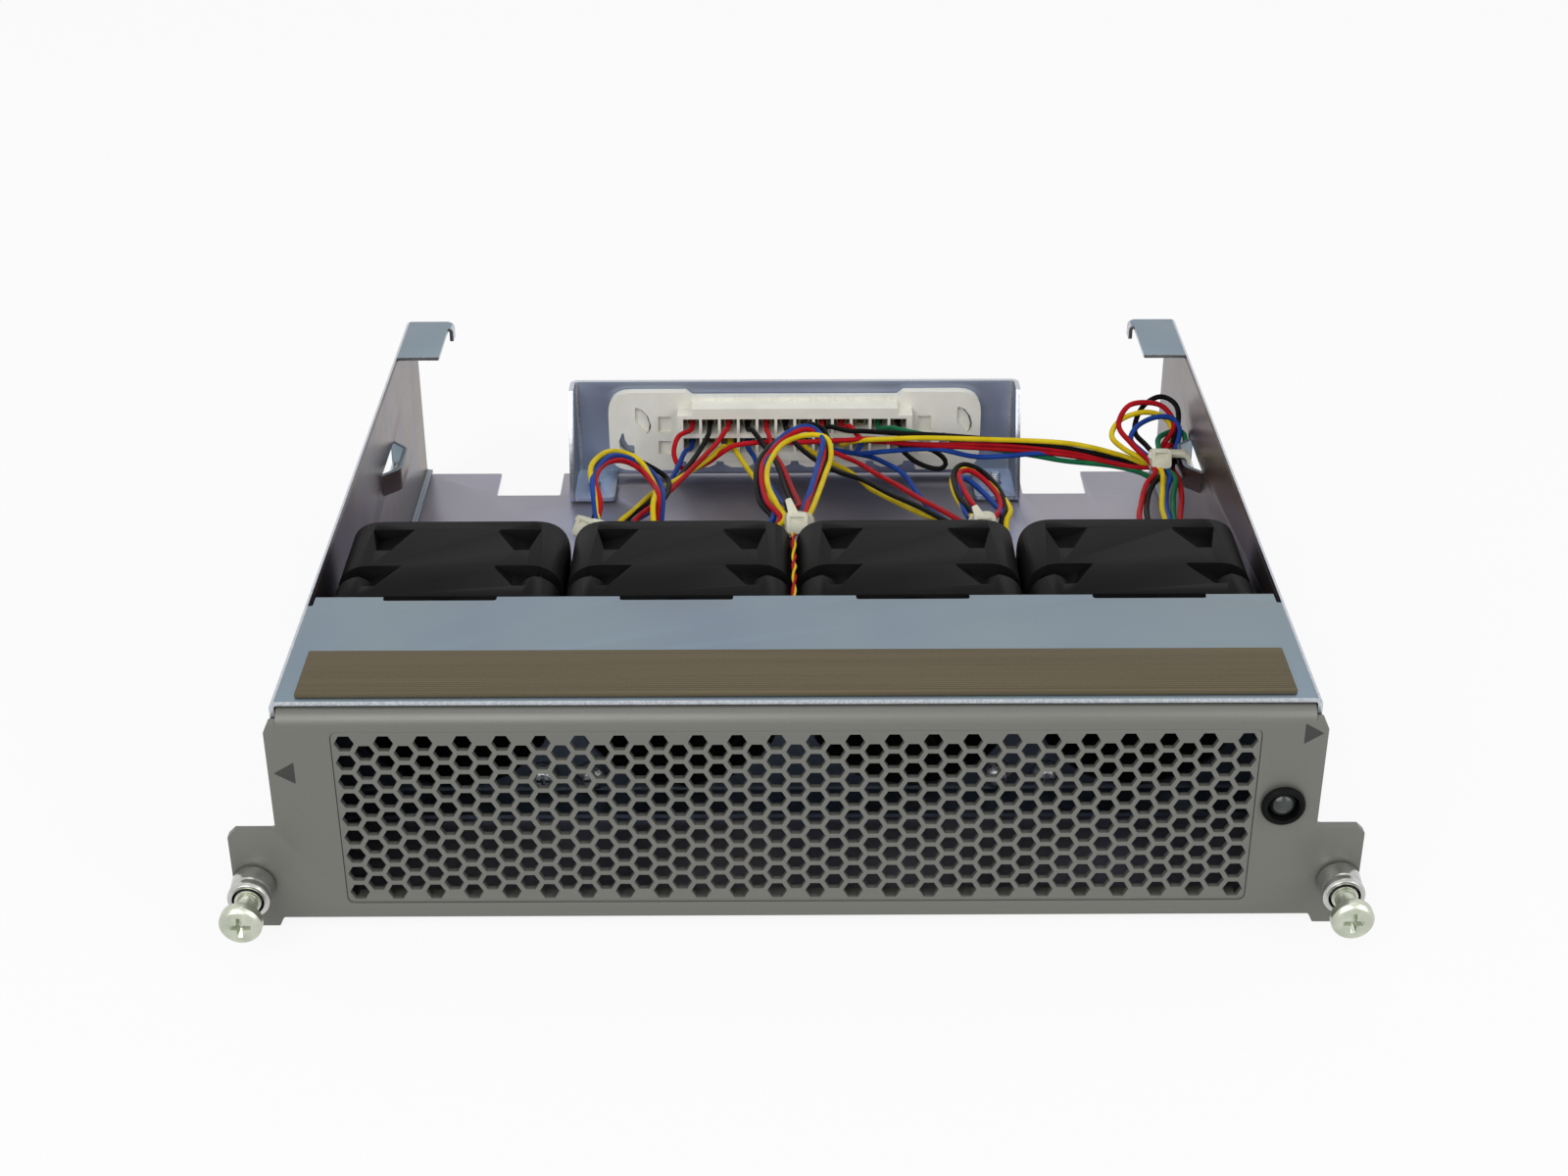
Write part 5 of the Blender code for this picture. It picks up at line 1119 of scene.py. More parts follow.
class FANTRAY_OT_bracket(bpy.types.Operator):
    """Fold the rear bracket and fix it with two flat-head screws"""
    bl_idname = "fantray.bracket"
    bl_label = "Rear Bracket"

    def execute(self, context):
        store = stock()
        low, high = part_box("rear_bracket")
        foot, top = REAR - 15 * MM, REAR - 6 * MM
        path = [(low.x, foot), (low.x, REAR), (high.x, REAR), (high.x, foot)]
        bracket = folded_within(high.x + 0.1 * MM, lambda corner: corner.x,
                                "connector_bracket", path, "Z", low.z, high.z, MM, 1.8 * MM, inward=True)
        bottom = low.z + MM
        slope = [(foot - MM, bottom), (foot, bottom), (top, high.z), (top, high.z + MM),
                 (foot - MM, high.z + MM)]
        combine(bracket, [plate("gusset_cut", slope, "X", -0.1, 0.1)])
        for x0, x1 in ((low.x + 0.5 * MM, low.x + 10 * MM), (high.x - 10 * MM, high.x - 0.5 * MM)):
            outline = rounded([(x0, foot), (x1, foot), (x1, REAR - 0.5 * MM), (x0, REAR - 0.5 * MM)],
                              1.2 * MM, 4)
            combine(bracket, [plate("foot", outline, "Z", low.z, bottom)], "UNION")
        shroud = block("shroud_cut", (CONNECTOR_X - 26.5 * MM, REAR - 2 * MM, 8.3 * MM),
                       (CONNECTOR_X + 26.5 * MM, REAR + MM, 19.3 * MM))
        combine(bracket, [shroud])
        for side in ("left", "right"):
            a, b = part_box("bracket_screw_" + side)
            middle = (a + b) / 2
            deselected()
            bpy.ops.mesh.primitive_cylinder_add(vertices=32, radius=1.4 * MM, depth=4 * MM,
                                                location=(middle.x, middle.y, low.z))
            combine(bracket, [named("screw_cut")])
            self.screw(side, middle, a.z, b.z, store)
        soften(bracket, 0.14 * MM)

        def finish(centre, normal):
            edge = normal.z > 0.7 and centre.z > high.z - 0.4 * MM
            slope_edge = abs(normal.y) < 0.99 and normal.y < -0.3 and abs(centre.x - CONNECTOR_X) > 48 * MM
            return 1 if edge or slope_edge else 0

        dress(bracket, [store["zinc_bracket"], store["edge"]], replaces=["rear_bracket"],
              choose=finish)
        return {"FINISHED"}

    def screw(self, side, middle, bottom, top, store):
        """Flat head flush under the floor, thread standing up through the foot."""
        profile = [(0, bottom), (1.85 * MM, bottom), (1.1 * MM, bottom + 0.8 * MM)]
        height, pitch = bottom + 0.9 * MM, 0.4 * MM
        while height + pitch < top:
            profile += [(0.95 * MM, height), (1.1 * MM, height + pitch * 0.4),
                        (1.1 * MM, height + pitch * 0.6)]
            height += pitch
        profile += [(0.8 * MM, top), (0, top)]
        obj = spun("flat_screw_" + side, profile, (0, 0), 32)
        upright = Matrix.Rotation(math.radians(90), 4, "X")
        obj.data.transform(Matrix.Translation((middle.x, middle.y, 0)) @ upright)
        dress(obj, store["steel"], replaces=["bracket_screw_" + side], angle=35)


ROW_HEIGHTS = (16.1 * MM, 11.5 * MM)
COLUMN_XS = [CONNECTOR_X + (k - 5.5) * 4.2 * MM for k in range(12)]


class FANTRAY_OT_connector(bpy.types.Operator):
    """Mould the floating two-row connector with its cavities, locating slots and scalloped edge"""
    bl_idname = "fantray.connector"
    bl_label = "Connector"

    def execute(self, context):
        store = stock()
        shroud_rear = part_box("connector_housing")[1].y
        x, front, rear = CONNECTOR_X, FRONT + 163 * MM, FRONT + 165.2 * MM
        block_front, block_half = FRONT + 158.5 * MM, 26.2 * MM
        raised_half, mating_half = 22.9 * MM, 24.6 * MM
        # Two taller ears flank a lower middle, and the lower edge steps up outside the scallops
        right = [(22.9, 21.2), (24.3, 22.4), (41.8, 22.4), (41.8, 3.2), (27.4, 3.2), (27.0, 5.6)]
        radii = [0.3, 0.6, 5.2, 5.0, 0.6, 0.3]
        points = [(u * MM, v * MM) for u, v in right]
        outline = [(x + u, v) for u, v in points] + [(x - u, v) for u, v in reversed(points)]
        housing = plate("connector_body", rounded(outline, [r * MM for r in radii + radii[::-1]], 6), "Y",
                        front, rear)
        cells = block("cells", (x - block_half, block_front, 7.6 * MM),
                      (x + block_half, rear - 0.2 * MM, 18.7 * MM))
        upper = block("upper", (x - raised_half, block_front, 18.6 * MM),
                      (x + raised_half, rear - 0.2 * MM, 20.4 * MM))
        combine(housing, [cells, upper], "UNION")
        # Scallops under the lower row: a rounded tooth below every wall between two pairs of circuits
        for k in range(6):
            centre = (COLUMN_XS[2 * k] + COLUMN_XS[2 * k + 1]) / 2
            tooth = [(centre - 3.6 * MM, 7.8 * MM), (centre - 3.2 * MM, 6.6 * MM),
                     (centre - 1.6 * MM, 5.9 * MM), (centre + 1.6 * MM, 5.9 * MM),
                     (centre + 3.2 * MM, 6.6 * MM), (centre + 3.6 * MM, 7.8 * MM)]
            combine(housing, [plate("tooth", tooth, "Y", block_front + 0.4 * MM, rear - 0.4 * MM)], "UNION")
        # Small ribs along the top of the middle
        for k in range(11):
            centre = (COLUMN_XS[k] + COLUMN_XS[k + 1]) / 2
            if abs(centre - x) < 22 * MM:
                rib = block("rib", (centre - 0.45 * MM, front - 0.5 * MM, 20.2 * MM),
                            (centre + 0.45 * MM, front + 0.5 * MM, 21.6 * MM))
                combine(housing, [rib], "UNION")
        shroud = block("shroud", (x - block_half, rear - MM, 8.6 * MM),
                       (x + block_half, shroud_rear, 19.0 * MM))
        combine(housing, [shroud], "UNION")
        for side in (-1, 1):
            edge = x + side * block_half
            wedge = [(edge - side * MM, REAR + 0.3 * MM), (edge + side * 0.9 * MM, REAR + 0.3 * MM),
                     (edge + side * 0.3 * MM, REAR + 2.3 * MM), (edge - side * MM, REAR + 2.3 * MM)]
            combine(housing, [plate("latch", wedge, "Z", 11.2 * MM, 16.4 * MM)], "UNION")

        deselected()
        cavity = 3.6 * MM
        bpy.ops.mesh.primitive_cube_add(size=1, location=(COLUMN_XS[0], block_front + 4 * MM, ROW_HEIGHTS[1]))
        bpy.ops.transform.resize(value=(cavity, 10 * MM, cavity))
        bpy.ops.object.transform_apply(location=True, rotation=True, scale=True)
        cavities = named("cavity_cut")
        in_rows(cavities, ((12, (4.2 * MM, 0, 0)), (2, (0, 0, ROW_HEIGHTS[0] - ROW_HEIGHTS[1]))))
        mating = block("mating_cut", (x - mating_half, block_front + 10.6 * MM, 10.2 * MM),
                       (x + mating_half, shroud_rear + MM, 17.4 * MM))
        combine(housing, [cavities, mating])
        for side in (-1, 1):
            for bottom, top in ((12.6, 16.5), (7.2, 10.5)):
                a, b = sorted((x + side * 27.8 * MM, x + side * 30.7 * MM))
                pocket = block("pocket", (a, front - MM, bottom * MM), (b, front + 1.3 * MM, top * MM))
                combine(housing, [pocket])
        # Each ear has the same openings: a bow-shaped pocket with a slit along its curve, and a hooked slot
        for shift in (0, 72.3):
            arc = [(-35.8, 18.9), (-34.2, 18.2), (-32.9, 16.5), (-32.3, 14.4), (-32.5, 12.9), (-33.2, 12.0)]
            combine(housing, [self.ear_cut([*arc, (-35.8, 15.0)], x, shift, front - MM, front + 1.1 * MM)])
            inner = [(u - 0.42, v - 0.22) for u, v in arc]
            combine(housing, [self.ear_cut(arc + inner[::-1], x, shift, front + 0.5 * MM, rear + 0.1 * MM)])
            hook = [(-38.9, 12.5), (-39.7, 10.3), (-39.4, 8.4), (-38.0, 6.8), (-36.2, 6.5), (-36.2, 9.5),
                    (-37.6, 9.5), (-38.3, 10.8), (-38.5, 12.4)]
            combine(housing, [self.ear_cut(hook, x, shift, front - MM, rear + 0.1 * MM)])
        soften(housing, 0.14 * MM, 2, 40)
        dress(housing, store["ivory"], replaces=["connector_housing"])
        self.terminals(block_front, store)
        return {"FINISHED"}

    def ear_cut(self, points, x, shift, start, end):
        """Cutter for an ear from an outline in millimetres off the connector's middle, its bends rounded."""
        outline = rounded([(x + (u + shift) * MM, v * MM) for u, v in points], 0.45 * MM, 3)
        return plate("ear_cut", outline, "Y", start, end)

    def terminals(self, block_front, store):
        """Crimped contacts: a folded barrel in every cavity, seen deep inside."""
        deselected()
        pieces = []
        for z in ROW_HEIGHTS:
            for x in COLUMN_XS:
                path = [(x - 0.9 * MM, z - 0.2 * MM), (x - 0.9 * MM, z - 1.2 * MM),
                        (x + 0.9 * MM, z - 1.2 * MM), (x + 0.9 * MM, z - 0.2 * MM)]
                pieces.append(folded("contact", path, "Y", block_front + 4.2 * MM, block_front + 8.6 * MM,
                                     0.2 * MM, 0.3 * MM, steps=2))
        contacts = joined("crimp_contacts", pieces)
        dress(contacts, store["terminal"])


# Leads and ties

# Each wire's own route in millimetres, from its cavity in the connector through the tie to the fan:
# x, distance behind the bezel's face, height.
WIRE_ROUTES = {
    "fan_lead_1": [
        ("yellow", [(-13.9, 164, 11.5), (-13.9, 158.2, 11.2), (-15.2, 153, 13.8), (-17.4, 146, 14.8),
            (-20, 137, 16.8), (-24.1, 123, 20.4), (-28, 110, 24.1), (-31.3, 97, 26.6), (-33.7, 89, 28),
            (-34.7, 82, 28), (-36.5, 78.8, 30), (-37.1, 80.2, 32.6), (-38.2, 88, 34.6), (-39.6, 98, 35.4),
            (-37.7, 108, 33.8), (-34.8, 114, 31.2), (-31.3, 115, 28.9), (-29, 110, 28.1), (-27.2, 101, 29),
            (-27.2, 90, 30.6), (-27.1, 79, 23.1), (-36, 73, 23.5), (-45, 70, 26), (-50.2, 67.6, 30.6),
            (-50.6, 64.4, 31.2)]),
        ("red", [(-13.9, 164, 16.1), (-14.1, 158.2, 15.7), (-14.5, 155, 16.9), (-16.2, 150, 16.3),
            (-19, 141, 17.1), (-22.2, 128, 19.3), (-25, 115, 22), (-27.6, 103, 24.9), (-30.9, 91, 27.2),
            (-33.4, 83, 25), (-36.1, 78.2, 28.6), (-37.7, 78.2, 31.4), (-36.9, 85, 34),
            (-38.5, 94, 34.7), (-37.5, 104, 33.2), (-34.5, 110, 31.2), (-31.1, 111, 29),
            (-27.8, 103, 29.3), (-26.3, 94, 30.3), (-27.8, 82, 23.5), (-33.5, 74, 21.5), (-44, 70.4, 24.8),
            (-51.2, 67.8, 29.6), (-51.4, 64.4, 30.6)]),
        ("black", [(-18.1, 164, 16.1), (-18.2, 158.2, 15.7), (-18.5, 153, 16.3), (-20.3, 146, 15.8),
            (-22.4, 134, 17.8), (-25.2, 119, 20.9), (-28.2, 106, 24.3), (-32.2, 93, 26.9), (-34.1, 84, 26.5),
            (-36.7, 79.4, 29), (-38.1, 79.2, 31.8), (-37.6, 89, 33.4), (-39.1, 99, 34),
            (-37.2, 108, 32.7), (-34.1, 115, 29.9), (-30.3, 118, 26.6), (-25.8, 117, 23.8),
            (-25.2, 107, 25.5), (-26.4, 96, 27.1), (-26.6, 84, 22.5), (-32.5, 75, 20), (-43, 71, 23.6),
            (-50, 67.8, 29.4), (-50, 64.4, 30.2)]),
        ("blue", [(-22.3, 164, 11.5), (-22.3, 158.2, 11.2), (-23.6, 153, 12.5), (-24.7, 145, 12.9),
            (-25.9, 134, 14.9), (-27.1, 123, 17.6), (-27.4, 112, 19.9), (-33.6, 92, 25), (-35.5, 79.4, 27.8),
            (-36.9, 78.6, 32), (-38.8, 91, 35.3), (-38.7, 99, 34.4), (-36.6, 108, 33.1),
            (-33.5, 114, 29.9), (-29.7, 115, 27.1), (-26.6, 108, 26.9), (-25.7, 98, 27.8),
            (-26.2, 85, 25.5), (-29, 76, 21.1), (-43, 70.2, 26.6), (-49.6, 67.8, 31.8),
            (-49.8, 64.4, 31.8)]),
    ],
    "fan_lead_2": [
        ("yellow", [(-13.9, 164, 11.5), (-13.1, 158.2, 11.1), (-12.5, 152, 13.7), (-10.4, 143, 14.6),
            (-7.9, 133, 15.8), (-4.9, 117, 19.6), (-2, 98, 26), (-2.6, 84, 33.2), (0.4, 77.8, 33),
            (2, 77.2, 35), (2.7, 78, 34.6), (4, 86, 33.1), (6.4, 103, 31), (7.9, 115, 29.6),
            (7.1, 122, 30.4), (2.8, 123, 30.6), (-1.9, 117, 31.4), (-4.7, 105, 32.7), (-4.9, 94, 33.7),
            (-3.1, 84, 34.4), (-1.6, 77, 34.7), (-5, 73, 33.4), (-8.4, 69, 31.6), (-9.6, 66.6, 30.6),
            (-9.8, 64.4, 30.6)]),
        ("red", [(-5.5, 164, 16.1), (-5.5, 158.2, 15.7), (-5, 153, 16.8), (-3.9, 144, 16.7),
            (-1.7, 131, 18.9), (0.1, 112, 23.4), (1.3, 93, 29.5), (-0.4, 82, 34.4), (0.8, 77, 34.4),
            (2.1, 79, 34.5), (3, 88, 33.2), (5.2, 105, 30.9), (6.5, 118, 29.5), (5.1, 125, 30.1),
            (2.2, 125, 30.9), (-1.9, 119, 31.4), (-5.6, 108, 32.1), (-6.1, 97, 33.1), (-4.9, 86, 33.8),
            (-2.4, 77, 34.6), (-6.4, 72.6, 32.4), (-9.4, 68.6, 30.8), (-10.6, 66.4, 30.2),
            (-10.8, 64.4, 30.2)]),
        ("black", [(-9.7, 164, 16.1), (-9.7, 158.2, 15.7), (-8.5, 154, 17.2), (-5.9, 147, 16.7),
            (-3.4, 136, 18.2), (-1.3, 117, 21.4), (0.1, 95, 27.9), (-1.4, 83, 35.2), (0.6, 77.6, 35.4),
            (1.5, 82, 33.7), (3.1, 91, 32.5), (6.1, 109, 29.8), (7.6, 121, 28.6), (6.6, 128, 29.4),
            (3.1, 128, 30.7), (-2.3, 122, 30.4), (-6.4, 110, 31.6), (-7.2, 98, 32.6), (-6.3, 88, 32.8),
            (-3.8, 79, 33.4), (-7.4, 73.4, 33.4), (-10.4, 69.4, 32.2), (-11.2, 66.6, 31.6),
            (-11.2, 64.4, 31.6)]),
        ("blue", [(-9.7, 164, 11.5), (-9.7, 158.2, 11.2), (-8.3, 151, 12.4), (-7.2, 144, 13.1),
            (-4.7, 130, 15.9), (-2.4, 112, 21.1), (-0.8, 95, 27.4), (-1, 84, 33.4), (1.6, 77.4, 34.2),
            (1.9, 83, 33.6), (3.6, 94, 32.8), (5.5, 112, 30.6), (6.3, 122, 30.4), (3.5, 127, 30.7),
            (-0.7, 123, 31.3), (-3.6, 116, 31.4), (-5.9, 104, 32.3), (-6, 93, 32.5), (-3.7, 81, 33.5),
            (-5.6, 74, 34.4), (-8.6, 70.2, 32.8), (-9.8, 67, 32), (-9.8, 64.4, 32)]),
    ],
    "fan_lead_3": [
        ("black", [(-1.3, 164, 16.1), (-1.2, 158.2, 15.7), (-0.6, 155, 17.1), (0.5, 150, 16.5),
            (3.1, 145, 16.1), (6.3, 139, 16.4), (10, 132, 17.7), (14.7, 124, 19.8), (19.9, 113, 22),
            (25.2, 101, 25.1), (29.4, 91, 27.3), (33.4, 84, 28.2), (35.2, 79.6, 30.6), (34.9, 80, 32.6),
            (34.4, 85, 32.2), (32.6, 93, 31.1), (32.1, 104, 29.9), (33.2, 109, 29.8), (35.2, 111, 29.5),
            (38.3, 110, 28.5), (40.9, 103, 28.4), (41.7, 94, 29), (40.3, 86, 29.6), (38.2, 78, 27),
            (33.4, 72, 28), (31.2, 67.6, 30.4), (31, 64.4, 30.4)]),
        ("red", [(7.1, 164, 16.1), (6.9, 158.2, 15.7), (6.5, 154, 14.6), (8, 150, 14.5), (11.1, 144, 15.7),
            (14.4, 138, 16.9), (17.8, 130, 18.3), (21.6, 119, 21.1), (25.6, 108, 23.5), (31.3, 93, 27),
            (34.8, 84, 28.6), (36, 79.6, 31.2), (35.6, 80.2, 33.2), (35.6, 85, 32), (34, 94, 31.2),
            (33.3, 105, 29.9), (34.6, 109, 29.1), (36.5, 110, 28.4), (38.9, 106, 28.1), (40.6, 98, 28.8),
            (40.4, 91, 29.5), (38.4, 84, 30.4), (36.6, 77, 27.6), (33, 72.4, 29.4), (30.4, 67.6, 31.2),
            (30.2, 64.4, 31.2)]),
        ("blue", [(7.1, 164, 11.5), (7.1, 158.2, 11.2), (16.8, 153, 11.4), (20.5, 147, 12.6),
            (24, 139, 13.9), (26.2, 126, 16), (28.2, 112, 19.1), (30.8, 97, 23.7), (34.6, 86, 27.8),
            (36.4, 79.4, 30.2), (35, 79.2, 33.4), (33.6, 84, 31.6), (32.9, 92, 30.8), (33.2, 101, 30),
            (34.4, 105, 29.5), (37.3, 103, 28), (39.6, 95, 28.6), (40.5, 88, 29.6), (39.2, 79, 26.4),
            (34, 73, 26.6), (31.2, 68, 29.6), (31, 64.4, 29.6)]),
        ("yellow", [(2.9, 164, 11.5), (3.3, 158.2, 11.1), (8.9, 149, 11.7), (11.9, 141, 13.8),
            (15.1, 132, 15.4), (16.7, 126, 16.6), (21.3, 113, 20.1), (26, 100, 23.9), (30.3, 91, 26.7),
            (33.8, 83, 27.2), (34.2, 79.4, 30.6), (34.1, 80.8, 33), (33.8, 86, 30.9), (32.2, 95, 30.1),
            (31.8, 103, 29.5), (33, 108, 29.2), (35.6, 111, 28.7), (38.9, 109, 27.9), (41.2, 100, 28.4),
            (42.4, 91, 29.4), (41.1, 85, 29.9), (40, 78, 27.6), (34.6, 71.6, 29), (30.4, 67.8, 32),
            (30.2, 64.4, 32)]),
    ],
    "fan_lead_4": [
        ("yellow", [(11.3, 164, 11.5), (11.4, 158.2, 11.7), (13, 150, 16.2), (15.5, 148, 17.6),
            (22.8, 146, 18.9), (30.1, 145, 19.5), (44.3, 141, 20.9), (56, 137, 22.2), (62.7, 133, 23),
            (69.2, 128, 23.3), (73.6, 122, 24.3), (77, 119.6, 26.6), (79.4, 128, 25.3), (80.1, 131, 27.5),
            (78.4, 133, 29.8), (73.9, 132, 31.4), (68.9, 130, 30.6), (66.7, 127, 28.4), (68.7, 123, 27.3),
            (73, 119, 26.3), (75.2, 113, 26.9), (74.1, 104, 27.3), (72.3, 93, 28.8), (70.9, 80, 32.2),
            (70.6, 72, 32.4), (71, 67.4, 31.6), (71, 64.4, 31.6)]),
        ("red", [(11.3, 164, 16.1), (11.3, 158.2, 15.7), (13.1, 155, 17.7), (15.6, 151, 16.5),
            (21.4, 148, 17.1), (30.2, 146, 17.4), (39.7, 143, 18.9), (49.2, 140, 19.8), (58.4, 136, 20.5),
            (67.2, 130, 21.3), (72.9, 124, 23), (76.6, 119.4, 24.6), (77, 125, 26.3), (80.3, 131, 28.6),
            (78.6, 134, 31.4), (75, 134, 32.7), (70.5, 132, 32.8), (68.2, 128, 30.1), (70.5, 123, 28.2),
            (74, 114, 26.9), (71.1, 106, 27.3), (68.7, 96, 28.3), (66.4, 82, 31.2), (68.6, 72.4, 29.8),
            (70.6, 67.4, 30.6), (70.6, 64.4, 30.6)]),
        ("blue", [(15.5, 164, 11.5), (15.5, 158.2, 11.5), (14.7, 152, 12.5), (20.6, 149, 14.4),
            (27.8, 147, 15.9), (32.6, 145, 16.7), (39.6, 141, 16.9), (46.7, 139, 18), (53.8, 138, 19.1),
            (60.7, 135, 19.7), (68, 129, 21.4), (73.2, 123, 23.2), (77.6, 119.6, 23.8), (79.8, 125, 25.7),
            (81.4, 130, 27.9), (79.9, 132, 30), (76.3, 132, 30.2), (72.3, 129, 29.6), (70.6, 126, 27.9),
            (72.2, 121, 27.6), (76.7, 113, 26.4), (74.9, 104, 26.8), (73.3, 94, 28.3), (71.7, 80, 32.2),
            (71.8, 72, 31.6), (71.6, 67.4, 31), (71.6, 64.4, 31)]),
        ("black", [(7.1, 164, 16.1), (7.4, 158.2, 15.7), (8.4, 155, 17.7), (12.6, 152, 18),
            (15.6, 151, 18.4), (22.9, 148, 19.3), (33, 145, 20.1), (42.5, 142, 20.6), (51.9, 139, 20.9),
            (60.6, 135, 21.3), (67.9, 129, 22.3), (73.2, 123, 23.6), (78.4, 119.4, 25.8),
            (79.1, 126, 25.3), (81.3, 132, 29.1), (81.1, 136, 31.4), (77.8, 137, 32.7), (73.7, 134, 31.4),
            (71.8, 129, 28.4), (73.7, 123, 27.6), (76.3, 115, 26.4), (72.6, 107, 26.8), (70, 97, 27.8),
            (68, 82, 31.2), (69.8, 73, 29.4), (71.4, 67.4, 30), (71.4, 64.4, 30)]),
        ("green", [(19.7, 164, 16.1), (19.5, 158.2, 15.7), (22.2, 154, 17.8), (25.4, 150, 18.8),
            (35.1, 147, 18.1), (44.6, 143, 17.6), (52.5, 139, 18), (58.4, 135, 18.7), (67.1, 129, 20.5),
            (71.9, 123, 22), (74, 118, 23.1), (76.2, 118.6, 23.2), (77.8, 122.8, 24.6), (81.8, 127, 24.8),
            (82.5, 130, 26.9), (81.1, 131, 27.5), (78.4, 129, 27.9), (75.9, 124, 28.4), (76.4, 116, 26.5),
            (77.6, 110, 26.8), (75.6, 100, 27.3), (72.9, 82, 31.1), (73, 73, 30.2), (72.2, 67.4, 30.2),
            (72.2, 64.4, 30.2)]),
        ("red", [(-22.3, 164, 16.1), (-22.2, 158.2, 15.7), (-24.9, 154, 15.9), (-25.9, 150, 13.9),
            (-24.8, 147.5, 12), (-22.6, 147, 11.1), (-18.6, 147.5, 12.4), (-15.1, 148.5, 14.6),
            (-12.5, 149.5, 15.7), (-8.1, 150.5, 15.9), (-4.6, 150.5, 16), (1.6, 150, 16.2),
            (6.4, 149, 16.9), (12.1, 148.5, 17.4), (17.7, 148, 17.9), (24.4, 148, 16.7), (35.9, 144, 17.8),
            (46.4, 141, 18.6), (56.1, 137, 19.5), (65, 131, 20.7), (72.3, 123, 22.9), (75.8, 119.8, 25.4),
            (77.6, 123.6, 26.4), (79, 126.6, 26.4), (79.8, 125.8, 24), (79, 121, 23.4), (78.7, 112, 25.4),
            (77.7, 102, 26.3), (74, 82, 31.1), (73.8, 73.6, 31.2), (72.4, 67.4, 31.2), (72.4, 64.4, 31.2)]),
        ("black", [(23.9, 164, 16.1), (24, 158.2, 15.7), (24.3, 154, 13.2), (25.7, 151.5, 12.2),
            (28, 149, 11.5), (30.9, 147.5, 11), (32.9, 147.5, 10.9), (33.9, 148, 11.6), (33.6, 149, 12.6),
            (32.1, 151, 13.1), (30.2, 153, 13.1), (24.3, 158.2, 11.9), (23.9, 164, 11.5)]),
    ],
}
LAMP_ROUTE = [(79, 6, 21.9), (79, 8, 21.9), (78, 10.5, 25), (77, 12.5, 31), (74, 13.5, 36.4), (68, 14, 38),
              (50, 15, 38.2), (30, 17, 38.2), (12, 21, 38.2), (3, 27, 38.2), (0, 34, 39), (0, 44, 39.3),
              (0, 56, 39.2), (0, 62.5, 38.8), (-0.2, 66.4, 36.4), (-0.4, 67.4, 31), (-0.4, 68.6, 24),
              (-1.2, 76, 19), (-3, 98, 15.5), (-4.8, 130, 12.5), (-5.5, 148, 11.6), (-5.5, 154, 11.5),
              (-5.5, 160.5, 11.5)]


def smooth_path(points, spacing):
    """Evenly spaced points on a Catmull-Rom curve through the given points, in metres."""
    padded = [2 * points[0] - points[1], *points, 2 * points[-1] - points[-2]]
    dense = []
    for a, b, c, d in zip(padded, padded[1:], padded[2:], padded[3:]):
        for k in range(20):
            t = k / 20
            dense.append(0.5 * (2 * b + (c - a) * t + (2 * a - 5 * b + 4 * c - d) * t ** 2
                                + (3 * b - a - 3 * c + d) * t ** 3))
    dense.append(points[-1])
    lengths = [0.0]
    for before, after in zip(dense, dense[1:]):
        lengths.append(lengths[-1] + (after - before).length)
    count = max(8, round(lengths[-1] / spacing))
    path, k = [], 0
    for i in range(count + 1):
        target = lengths[-1] * i / count
        while k < len(dense) - 2 and lengths[k + 1] < target:
            k += 1
        span = max(lengths[k + 1] - lengths[k], 1e-9)
        path.append(dense[k].lerp(dense[k + 1], (target - lengths[k]) / span))
    return path


def tube(name, paths, radius, slots, smooth=3):
    """Round wires along their paths, made as curves and converted to one mesh; one slot for each path."""
    deselected()
    curve = bpy.data.curves.new(name, "CURVE")
    curve.dimensions = "3D"
    curve.bevel_depth = radius
    curve.bevel_resolution = smooth
    curve.use_fill_caps = True
    for slot in slots:
        curve.materials.append(stock()[slot])
    for index, path in enumerate(paths):
        spline = curve.splines.new("POLY")
        spline.points.add(len(path) - 1)
        for point, place in zip(spline.points, path):
            point.co = (*place, 1)
        spline.material_index = index
    obj = bpy.data.objects.new(name, curve)
    bpy.context.scene.collection.objects.link(obj)
    activate(obj)
    bpy.ops.object.convert(target="MESH")
    obj = bpy.context.object
    obj.name = obj.data.name = name
    return outward(obj, merge=1e-7)


def twisted_pair(radius):
    """Two paths that wind about the lamp's route and part at its ends."""
    route = smooth_path([at(*p) for p in LAMP_ROUTE], 0.7 * MM)
    normal, pair = Vector((0, 0, 1)), [[], []]
    for k, place in enumerate(route):
        ahead, behind = route[min(k + 1, len(route) - 1)], route[max(k - 1, 0)]
        along = (ahead - behind).normalized()
        normal = (normal - along * normal.dot(along)).normalized()
        run = 0.7 * k
        angle = math.tau * run / 9 + 0.5 * math.sin(run / 3.1)
        offset = normal * math.cos(angle) + along.cross(normal) * math.sin(angle)
        pair[0].append(place + offset * radius * 1.05)
        pair[1].append(place - offset * radius * 1.05)
    return pair


class FANTRAY_OT_leads(bpy.types.Operator):
    """Run the fans' and the lamp's wires back to the connector"""
    bl_idname = "fantray.leads"
    bl_label = "Leads"

    def execute(self, context):
        radius = context.scene.fan_tray_sizes.wire
        for lead, wires in WIRE_ROUTES.items():
            paths = [smooth_path([at(*p) for p in points], 0.9 * MM) for _, points in wires]
            self.lead(lead, paths, radius, ["wire_" + colour for colour, _ in wires])
        self.lead("lamp_lead", twisted_pair(0.43 * radius), 0.43 * radius, ["wire_red", "wire_yellow"])
        return {"FINISHED"}

    def lead(self, name, paths, radius, slots):
        obj = tube(name + "_wires", paths, radius, slots)
        colours = [face.material_index for face in obj.data.polygons]
        dress(obj, [stock()[s] for s in slots], replaces=[name], angle=60)
        for face, colour in zip(obj.data.polygons, colours):
            face.material_index = colour


TO_VIEWER = Vector((0, -0.875, 0.483))
